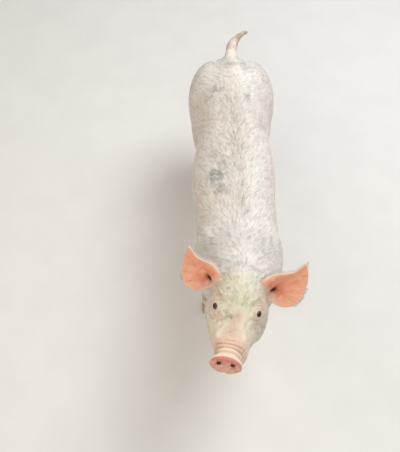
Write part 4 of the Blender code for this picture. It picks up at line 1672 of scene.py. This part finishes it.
# ---- eyes and claws
@dataclass
class Eye:
    """An eyeball with the cornea's bulge, in the place of the solid's."""

    spot: EyeSpot
    around: int = 64  # faces round the ball, and from pole to pole
    rings: int = 96
    bulge: float = 0.9 * MM
    look: tuple = (0.42, -0.40, 0.80)  # the way it looks, in the head's frame, for the left
    cornea: tuple = (0.62, 0.15)  # angles from the gaze, where the bulge begins and where it is full
    pupil: tuple = (0.29, 0.24)  # where the iris ends and where all is pupil
    limbus: tuple = (0.58, 0.66)
    white: tuple = (0.72, 0.80)

    def build(self, finish: Material) -> Object:
        """Makes the ball, marks it from its gaze and dresses it.

        Args:
            finish: the eye's finish.

        Returns:
            The ball.
        """
        name = "eyeball_" + self.spot.side.value
        bm = bmesh.new()
        bmesh.ops.create_uvsphere(bm, u_segments=self.around, v_segments=self.rings, radius=self.spot.radius)
        gaze = unit(HEAD.turned(np.array(self.look) * (self.spot.side.sign, 1, 1)))
        ahead = Vector((0, 0, 1))
        turn = ahead.rotation_difference(Vector(gaze)).to_matrix()
        off, round_gaze = np.zeros((2, len(bm.verts)))
        for i, v in enumerate(bm.verts):
            off[i] = v.co.angle(ahead, 0.0)
            round_gaze[i] = math.atan2(v.co.y, v.co.x)
            v.co = v.co + v.co.normalized() * self.bulge * float(ease(off[i], *self.cornea))
            v.co = turn @ v.co + Vector(self.spot.centre)
        obj = standing(name, bm)
        parts = {"pupil": self.pupil, "limbus": self.limbus, "white": self.white}
        fields = {key: ease(off, *borders) for key, borders in parts.items()}
        write_fields(obj.data, {"round_gaze": round_gaze} | fields)
        smooth(obj.data)
        obj.data.materials.append(finish)
        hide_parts("eye_" + self.spot.side.value)
        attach(obj, "root")
        LOG.info("%s", name)
        return obj


@dataclass
class Hoof:
    """The four claws of one foot, grown from the solids: edges worn round and the walls ridged."""

    end: str
    side: Side
    grain: float = 1.0 * MM
    ridge: float = 0.09 * MM  # height of the rings of growth
    pitch: float = 2.6 * MM  # from one ring to the next
    slope: float = 0.25  # how much the rings drop towards the toe

    @property
    def nodes(self) -> tuple[str, ...]:
        """The names of the four claws in the frame."""
        kinds = [f"{kind}_{self.end}_{part}_" for kind in ("claw", "dewclaw") for part in ("inner", "outer")]
        return tuple(kind + self.side.value for kind in kinds)

    def build(self, finish: Material) -> Object:
        """Makes the claws as one piece.

        Args:
            finish: the horn's finish.

        Returns:
            The piece.
        """
        name = f"claws_{self.end}_{self.side.value}"
        bm = bmesh.new()
        for node in self.nodes:
            bm.from_mesh(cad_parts[node].data)
        obj = standing(name, bm)
        fuse(obj, self.grain)
        clay = Clay(obj)
        clay.relax(10, 0.45, swell=1.02)
        normals = clay.normals()
        _, y, z = clay.co.T
        wall = ease(z, 1.5 * MM, 5 * MM) * ease(np.abs(normals[:, 2]), 0.9, 0.5)
        rings = np.sin((z + self.slope * (y - y.min())) / self.pitch * 2 * math.pi)
        clay.co += normals * (self.ridge * rings * wall)[:, None]
        clay.co[:, 2] = np.maximum(clay.co[:, 2], 0.0)
        clay.write()
        smooth(obj.data)
        obj.data.materials.clear()
        obj.data.materials.append(finish)
        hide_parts(*self.nodes)
        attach(obj, "root")
        LOG.info("%s: %d faces", name, len(obj.data.polygons))
        return obj


# ---- the coat
@dataclass(frozen=True)
class Lock:
    """The size and stand of a region's tufts."""

    density: float  # tufts per square metre
    length: float
    width: float
    stand: float  # how far the tip stands off the skin, as a share of the length
    spans: int = 2  # one for a straight tuft, two for a bent one
    mates: int = 0  # tufts that lean together into one lock

    @property
    def faces(self) -> int:
        """Triangles in one tuft."""
        return 6 * self.spans - 2


class Place(Enum):
    """The regions of the coat, each with its own tufts."""

    BACK = Lock(150000, 0.0150, 0.80 * MM, 0.045, 2, 3)
    FLANK = Lock(115000, 0.0150, 0.80 * MM, 0.050, 2, 3)
    BELLY = Lock(60000, 0.0140, 0.65 * MM, 0.08)
    NECK = Lock(150000, 0.0165, 0.80 * MM, 0.055, 2, 4)
    HEAD = Lock(170000, 0.0120, 0.75 * MM, 0.08, 2, 4)
    FACE = Lock(230000, 0.0052, 0.42 * MM, 0.10, 1)
    EAR_BACK = Lock(220000, 0.0060, 0.42 * MM, 0.07, 1)
    EAR_HOLLOW = Lock(22000, 0.0060, 0.25 * MM, 0.16, 1)
    LEG = Lock(130000, 0.0100, 0.65 * MM, 0.06, 2, 4)
    FOOT = Lock(190000, 0.0065, 0.50 * MM, 0.08, 1)
    TAIL = Lock(190000, 0.0110, 0.50 * MM, 0.14)


@dataclass
class Coat:
    """All of the bristles, in pieces by region, rooted on the skin and marked as it is."""

    skin: Skin
    most: int = 190000  # triangles in one piece
    sunk: float = 0.35 * MM  # how far a root is under the skin
    rim_tufts: int = 3600
    rim_length: float = 0.0060
    lash_places: int = 34  # round each eye
    lash_lengths: tuple = (0.0085, 0.0045)  # on the upper lid and on the lower one
    few_below: float = 0.12  # the share of the lashes that is on the lower lid
    patch: float = 0.0015  # how wide a tuft is on the map

    def build(self, finish: Material) -> None:
        """Plants every region and makes its pieces.

        Args:
            finish: what the bristles are made of.
        """
        self.finish = finish
        self.read_skin()
        self.rng = np.random.default_rng(SEED)
        total = 0
        for place in Place:
            roots = self.planted(place)
            count = len(roots["point"])
            parts = max(1, math.ceil(count * place.value.faces / self.most))
            for part in range(parts):
                chosen = slice(part * count // parts, (part + 1) * count // parts)
                piece = {key: values[chosen] for key, values in roots.items()}
                total += self.piece(f"coat_{place.name.lower()}_{part + 1}", piece, place.value)
        LOG.info("coat: %d tufts", total + self.rim_hair() + self.lashes())

    def read_skin(self) -> None:
        """Takes the skin's triangles, normals, markings and map as arrays."""
        mesh = self.skin.obj.data
        mesh.calc_loop_triangles()
        self.tri = rows(mesh.loop_triangles, "vertices", 3, np.int64)
        loops = rows(mesh.loop_triangles, "loops", 3, np.int64)
        self.uv = rows(mesh.uv_layers[BAKE_MAP].data, "uv", 2)[loops]
        self.co = self.skin.clay.co
        self.normal = self.skin.clay.normals()
        corner = self.co[self.tri]
        across = np.cross(corner[:, 1] - corner[:, 0], corner[:, 2] - corner[:, 0])
        self.area = 0.5 * np.linalg.norm(across, axis=1)
        self.tree = BVHTree.FromPolygons([Vector(p) for p in self.co], self.tri.tolist())
        self.place_of = self.sorted_places()

    def sorted_places(self) -> Array:
        """Sorts the skin's triangles into regions, whose borders run into one another.

        Returns:
            For each triangle the number of its region, or -1 where no hair grows.
        """
        f = {key: values[self.tri].mean(1) for key, values in self.skin.fields.items()}
        centre = self.co[self.tri].mean(1)
        up = unit(self.normal[self.tri].mean(1))[:, 2]
        y, z = centre[:, 1], centre[:, 2]
        back = HEAD.inward(centre)[:, 1]
        loose = np.random.default_rng(SEED).uniform(-1.0, 1.0, len(self.tri))
        head, ear = f["on_head"] + 0.45 * loose > 0.5, f["is_ear"] > 0.5
        grows = (  # from first to last, each over the ones before it
            (Place.BACK, up + 0.15 * loose > 0.55),
            (Place.BELLY, (up + 0.20 * loose < -0.45) & (z > 0.20)),
            (Place.NECK, (back > 0.20) & (y + 0.03 * loose < -0.16) & (up + 0.2 * loose > -0.2)),
            (Place.LEG, z + 0.02 * loose < 0.235),
            (Place.FOOT, z + 0.01 * loose < 0.085),
            (Place.HEAD, head),
            (Place.FACE, head & ((back + 0.012 * loose < 0.086) | (f["lids"] + 0.2 * loose > 0.45))),
            (Place.TAIL, f["tail"] > 0.5),
            (Place.EAR_BACK, ear),
            (Place.EAR_HOLLOW, ear & (f["ear_inside"] > 0.4)),
            (Place.FACE, f["ear_hairy"] > 0.5),
        )
        order = list(Place)
        found = np.full(len(self.tri), order.index(Place.FLANK))
        for place, where in grows:
            found[where] = order.index(place)
        bare = (f["disc"] > 0.03) | (f["bore"] > 0.1) | (f["lid_edge"] > 0.35) | (f["ear_deep"] > 0.3)
        for spot in EYES.values():
            near = np.linalg.norm(centre - spot.centre, axis=1) < 0.02
            bare |= near & (spot.beyond_lids(centre) < 0.8 * MM)
        found[bare] = -1
        return found

    def planted(self, place: Place) -> Fields:
        """Chooses the roots of one region, spread evenly over its area.

        Args:
            place: the region.

        Returns:
            The roots' places, normals, map places and markings.
        """
        mine = np.where(self.place_of == list(Place).index(place))[0]
        mine = mine[walk_order(self.co[self.tri[mine, 0]], 3.0 * MM)]
        area = np.cumsum(self.area[mine])
        count = int(area[-1] * place.value.density)
        picks = (np.arange(count) + self.rng.random(count)) / count * area[-1]
        chosen = mine[np.clip(np.searchsorted(area, picks), 0, len(mine) - 1)]
        roots = self.rooted(chosen)
        roots["f_tone"] = self.rng.random(count) ** 1.9  # most tufts are pale and a few dark
        return roots

    def rooted(self, chosen: Array) -> Fields:
        """Puts one root at a chance place on each chosen triangle.

        Args:
            chosen: the numbers of the triangles.

        Returns:
            The roots' places, normals, map places and markings; a marking's name starts with f_.
        """
        a, b = self.rng.random(len(chosen)), self.rng.random(len(chosen))
        over = a + b > 1
        a[over], b[over] = 1 - a[over], 1 - b[over]
        share = np.stack([1 - a - b, a, b], 1)[:, :, None]
        tri = self.tri[chosen]
        roots = {
            "point": (self.co[tri] * share).sum(1),
            "normal": unit((self.normal[tri] * share).sum(1)),
            "uv": (self.uv[chosen] * share).sum(1),
        }
        for key, values in self.skin.fields.items():
            roots["f_" + key] = (values[tri] * share[:, :, 0]).sum(1)
        return roots

    def lie(self, roots: Fields) -> Array:
        """Finds the way the coat lies: back along the body and down its sides and legs, out over the ears.

        Args:
            roots: where the tufts grow.

        Returns:
            A direction along the skin at each root.
        """
        p, n = roots["point"], roots["normal"]
        h = HEAD.inward(p)
        x, y, z = p.T
        out = np.tanh(x / 0.022)
        rump = ease(y, 0.27, 0.42)
        neck = ease(y, -0.12, -0.20)
        down = -0.45 - 0.75 * rump - 0.25 * np.abs(out)
        way = np.stack([out * (0.50 + 0.55 * neck), 1.0 - 0.55 * rump, down], 1)
        leg = ease(z, 0.27, 0.20)[:, None]
        way = way * (1 - leg) + np.array((0.0, 0.18, -1.0)) * leg
        on_head = np.maximum(roots["f_on_head"], roots["f_ear_hairy"])[:, None]
        way = way * (1 - on_head) + HEAD.turned(self.face_lie(h)) * on_head
        for spot in EAR_SPOTS:
            mine = np.sign(h[:, 0]) == spot.side.sign
            ear = (roots["f_is_ear"] * (1 - roots["f_ear_hairy"]) * mine)[:, None]
            way = way * (1 - ear) + (unit(p - spot.origin) + 0.35 * spot.along) * ear
        way[roots["f_tail"] > 0.5] = np.array((0.55, 0.8, -0.1))
        swirl = (waves(p, 0.035, 21) - 0.5) * 0.40
        way = unit(way - n * (way * n).sum(1, keepdims=True))
        return unit(way + np.cross(n, way) * swirl[:, None])

    def face_lie(self, h: Array) -> Array:
        """Parts the hair of the face along its middle, more so on the forehead, and lays it down the cheeks.

        Args:
            h: the roots in the head's frame.

        Returns:
            A direction in the head's frame at each.
        """
        off = np.abs(h[:, 0])
        side = np.sign(h[:, 0]) * (0.35 + 0.9 * ease(off, 0.010, 0.045)) * ease(off, 0.0, 0.006)
        side = side * (0.35 + 0.65 * ease(h[:, 1], 0.09, 0.14))
        cheek = ease(off, 0.036, 0.062)
        return np.stack([side * (1 - 0.6 * cheek), np.ones(len(h)), -0.75 * cheek], 1)

    def piece(self, name: str, roots: dict, lock: Lock) -> int:
        """Makes one piece of the coat.

        Args:
            name: the piece's name.
            roots: where its tufts grow.
            lock: their size and stand.

        Returns:
            How many tufts it holds.
        """
        count = len(roots["point"])
        if not count:
            return 0
        n = roots["normal"]
        rng = self.rng
        way = self.lie(roots)
        way = unit(way + np.cross(n, way) * rng.normal(0, 0.12, count)[:, None])
        length = lock.length * np.clip(rng.normal(1.0, 0.22, count), 0.5, 1.6)
        if lock is Place.HEAD.value:
            short = 0.38 + 0.62 * ease(HEAD.inward(roots["point"])[:, 1], 0.075, 0.150)
            length = length * (short * (1 - 0.5 * roots["f_lids"]))
        if lock.mates:
            way, length = self.locked(roots, way, length, lock.mates)
        stand = lock.stand * np.clip(rng.normal(1.0, 0.5, count), 0.25, 3.0)
        root = roots["point"] - n * self.sunk
        line = [root]
        for step in range(1, lock.spans + 1):
            share = step / lock.spans
            height = (0.55 - 0.30 * share) * MM + stand * length * share**2
            line.append(self.laid(root + way * (share * length)[:, None], height, n))
        width = lock.width * np.clip(rng.normal(1.0, 0.2, count), 0.6, 1.5)
        self.spikes(name, roots, line, width, n)
        return count

    def locked(
        self, roots: dict, way: Array, length: Array, mates: int
    ) -> tuple[Array, Array]:
        """Leans each tuft towards the tip of a neighbour and gives it most of that one's tone.

        Args:
            roots: where the tufts grow; their tone is changed.
            way: the way each lies.
            length: how long each is.
            mates: tufts in one lock.

        Returns:
            The new ways and lengths.
        """
        points = roots["point"]
        near = KDTree(math.ceil(len(way) / mates))
        for lead in range(0, len(way), mates):
            near.insert(points[lead], lead)
        near.balance()
        lead = np.array([near.find(p)[1] for p in points])
        tip = points[lead] + way[lead] * (length[lead] * 1.1)[:, None]
        run = tip - points
        reach = np.linalg.norm(run, axis=1)
        roots["f_tone"] = 0.22 * roots["f_tone"] + 0.78 * roots["f_tone"][lead]
        return unit(way * 0.6 + run / reach[:, None] * 0.4), 0.6 * length + 0.4 * reach

    def laid(self, points: Array, height: Array, normal: Array) -> Array:
        """Brings points down to the skin.

        Args:
            points: the points.
            height: how far each stays over the skin.
            normal: the direction out of the skin at each one's root.

        Returns:
            The new points.
        """
        found = np.empty_like(points)
        for i, p in enumerate(points):
            place, way, _, _ = self.tree.find_nearest(Vector(p))
            out = np.array(way) if Vector(way).dot(Vector(normal[i])) > -0.2 else normal[i]
            found[i] = np.array(place) + out * height[i]
        return found

    def shaped(self, line: list, width: Array, normal: Array) -> tuple[Array, Array]:
        """Works out the corners of tapered, flattened tufts: three round each bend and one at the tip.

        Args:
            line, width, normal: as for spikes.

        Returns:
            The corners of each tuft, and the direction that each corner faces.
        """
        spans, count = len(line) - 1, len(line[0])
        run = unit(line[-1] - line[0])
        across = unit(np.cross(run, normal))
        over = np.cross(across, run)
        verts, ways = np.empty((2, count, 3 * spans + 1, 3))
        for span in range(spans):
            for k, (a, b) in enumerate(((-0.5, -0.08), (0.5, -0.08), (0.0, 0.14))):
                offset = across * a + over * b
                verts[:, 3 * span + k] = line[span] + offset * (width * (1 - 0.28 * span))[:, None]
                ways[:, 3 * span + k] = normal + 0.40 * unit(offset)
        verts[:, -1] = line[-1]
        ways[:, -1] = normal
        return verts, ways

    def spikes(
        self, name: str, roots: dict, line: list, width: Array, normal: Array
    ) -> Object:
        """Makes closed tufts along their lines, as one mesh.

        Args:
            name: the piece's name.
            roots: the map place and markings of each tuft.
            line: the places that each tuft runs through, from root to tip.
            width: each tuft's width at the root.
            normal: the direction out of the skin.

        Returns:
            The new piece.
        """
        verts, ways = self.shaped(line, width, normal)
        count, each, _ = verts.shape
        pairs = ((0, 1), (1, 2), (2, 0))
        pattern = [(0, 1, 2)]
        for low in range(0, each - 4, 3):
            for a, b in pairs:
                pattern += [(low + a, low + a + 3, low + b + 3), (low + a, low + b + 3, low + b)]
        pattern += [(each - 4 + a, each - 1, each - 4 + b) for a, b in pairs]
        faces = (np.array(pattern)[None] + each * np.arange(count)[:, None, None]).reshape(-1, 3)
        mesh = bpy.data.meshes.new(name)
        mesh.vertices.add(count * each)
        mesh.vertices.foreach_set("co", verts.ravel())
        mesh.loops.add(len(faces) * 3)
        mesh.loops.foreach_set("vertex_index", faces.ravel())
        mesh.polygons.add(len(faces))
        mesh.polygons.foreach_set("loop_start", np.arange(0, len(faces) * 3, 3))
        smooth(mesh)
        mesh.update(calc_edges=True)
        self.map_tufts(mesh, roots["uv"], faces, len(line) - 1)
        fields = {key: values for key, values in roots.items() if key.startswith("f_")}
        write_fields(mesh, {key[2:]: np.repeat(values, each) for key, values in fields.items()})
        mesh.normals_split_custom_set_from_vertices(unit(ways).reshape(-1, 3))
        mesh.materials.append(self.finish)
        obj = bpy.data.objects.new(name, mesh)
        bpy.context.scene.collection.objects.link(obj)
        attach(obj, "root")
        LOG.info("%s: %d tufts", name, count)
        return obj

    def map_tufts(self, mesh: Mesh, uv: Array, faces: Array, spans: int) -> None:
        """Maps each tuft to a small patch at its root's place on the skin's map.

        Args:
            mesh: the tufts.
            uv: the map place of each root.
            faces: the corners of the faces.
            spans: spans in one tuft.
        """
        offset = [np.zeros(2)]
        for span in reversed(range(spans)):
            for turn in (4, 2, 0):
                angle = math.radians(60 * (turn + span))
                offset.insert(0, np.array((math.cos(angle), math.sin(angle))) * self.patch * (1 - 0.4 * span))
        at = (uv[:, None, :] + np.array(offset)[None]).reshape(-1, 2)
        mesh.uv_layers.new(name=BAKE_MAP).data.foreach_set("uv", at[faces.ravel()].ravel())

    def rim_hair(self) -> int:
        """Makes the fringe of fine hair that stands off the rim of each ear.

        Returns:
            How many tufts it holds.
        """
        rng = self.rng
        f = self.skin.fields
        edge = np.where((f["ear_rim"][self.tri].mean(1) > 0.35) & (f["ear_out"][self.tri].mean(1) > 0.02))[0]
        count = self.rim_tufts
        roots = self.rooted(rng.choice(edge, count))
        roots["f_tone"] = rng.random(count) * 0.5
        point = roots["point"]
        side = np.sign(HEAD.inward(point)[:, 0])
        way = np.zeros_like(point)
        for spot in EAR_SPOTS:
            on = side == spot.side.sign
            away = unit(point[on] - spot.origin - spot.along * 0.3 * spot.length - spot.across * 12 * MM)
            way[on] = away * 0.9 + spot.along * 0.5 + np.array((0, 0.1, -0.25))
        way = unit(unit(way) + rng.normal(0, 0.22, way.shape))
        length = self.rim_length * np.clip(rng.normal(1, 0.35, count), 0.4, 1.9)[:, None]
        root = point - roots["normal"] * 0.3 * MM
        line = [root, root + way * length * 0.5, root + way * length + rng.normal(0, 0.5 * MM, way.shape)]
        self.spikes("coat_ear_rims", roots, line, np.full(count, 0.28 * MM), roots["normal"])
        return count

    def lashes(self) -> int:
        """Makes the white lashes, longer on the upper lids.

        Returns:
            How many there are.
        """
        points, ways, ups, lengths = [], [], [], []
        for spot in EYES.values():
            for turn in math.pi * np.linspace(0.08, 0.92, self.lash_places):
                lower = self.rng.random() < self.few_below
                a = -math.cos(turn) * spot.half_length * 1.02
                b = math.sin(turn) * (-spot.lower if lower else spot.upper) * 1.10
                c = math.sqrt(max(spot.radius**2 - a * a - b * b, 1e-8)) + 1.2 * MM
                points.append(spot.centre + spot.back * a + spot.up * b + spot.out * c)
                ways.append(unit(spot.back * a * 40 + spot.up * (b * 90) + spot.out * 0.75))
                ups.append(spot.out)
                lengths.append(self.lash_lengths[lower] * self.rng.uniform(0.7, 1.15))
        points, ways, ups = np.array(points), np.array(ways), np.array(ups)
        lengths = np.array(lengths)[:, None]
        roots = self.rooted(np.array([self.tree.find_nearest(Vector(p))[2] for p in points]))
        roots["f_tone"] = roots["f_lids"] = np.zeros(len(points))
        line = [points - ways * 0.8 * MM, points + ways * lengths * 0.5]
        line.append(points + unit(ways + np.array((0, 0, 0.45))) * lengths)
        self.spikes("lashes", roots, line, np.full(len(points), 0.34 * MM), ups)
        return len(points)


# ---- studio
@dataclass
class Studio:
    """A pale floor, soft lamps and the camera above and in front of the snout."""

    camera_place: tuple = (-0.095, -0.9635, 1.737)
    look_down: float = math.radians(58.0)
    lens: float = 50.97  # in mm, as the sensor is
    sensor: float = 36.0
    floor_half: float = 9.0
    lamps_face: tuple = (0, 0, 0.3)  # the middle of the animal
    sky_colour: str = "F3F2F0"
    sky_strength: float = 0.50

    def build(self) -> None:
        """Sets up the floor, the lamps, the sky and the camera."""
        self.floor()
        self.lamp("key", Vector((1.1, 0.9, 2.6)), 1.5, 53.0, "F7FAFF")
        self.lamp("fill", Vector((-1.9, -0.6, 2.2)), 2.4, 15.0, "FFEDD4")
        self.lamp("front", Vector((-0.4, -2.2, 1.9)), 1.8, 18.0, "FFFAEC")
        self.sky()
        self.camera()

    def floor(self) -> None:
        """The floor, at the height that the claws stand on."""
        bm = bmesh.new()
        bmesh.ops.create_grid(bm, x_segments=8, y_segments=8, size=self.floor_half)
        obj = standing("floor", bm)
        obj.data.materials.append(StudioFloor().material())
        obj.location.z = CAD_BOX[0].z

    def lamp(self, name: str, place: Vector, size: float, power: float, colour: str) -> None:
        """Sets up one soft lamp that faces the animal.

        Args:
            name: the lamp's name.
            place: where it stands.
            size: its width.
            power: its power in watts.
            colour: its light, as sRGB hex.
        """
        data = bpy.data.lights.new(name, "AREA")
        data.size = size
        data.energy = power
        data.color = linear(colour)[:3]
        obj = bpy.data.objects.new(name, data)
        obj.location = place
        obj.rotation_mode = "QUATERNION"
        obj.rotation_quaternion = (Vector(self.lamps_face) - place).to_track_quat("-Z", "Y")
        bpy.context.scene.collection.objects.link(obj)

    def sky(self) -> None:
        """An even pale sky."""
        world = bpy.data.worlds.new("studio")
        world.use_nodes = True
        back = world.node_tree.nodes["Background"]
        back.inputs["Color"].default_value = linear(self.sky_colour)
        back.inputs["Strength"].default_value = self.sky_strength
        bpy.context.scene.world = world

    def camera(self) -> None:
        """The camera, looking down along the back."""
        data = bpy.data.cameras.new("camera")
        data.lens = self.lens
        data.sensor_width = self.sensor
        obj = bpy.data.objects.new("camera", data)
        obj.location = self.camera_place
        obj.rotation_euler = (math.pi / 2 - self.look_down, 0, 0)
        bpy.context.scene.collection.objects.link(obj)
        bpy.context.scene.camera = obj
        bpy.context.scene.view_settings.view_transform = "Standard"


def main() -> None:
    """Builds the animal piece by piece and sets it in the studio."""
    logging.basicConfig(level=logging.INFO, format="%(message)s", stream=sys.stdout)
    Studio().build()
    skin = Skin()
    skin.build()
    gloss = EyeGloss().material()
    for spot in EYES.values():
        Eye(spot).build(gloss)
    horn = ClawHorn().material()
    for end in ("fore", "hind"):
        for side in Side:
            Hoof(end, side).build(horn)
    Coat(skin).build(Bristle().material())


if __name__ == "__main__":
    main()
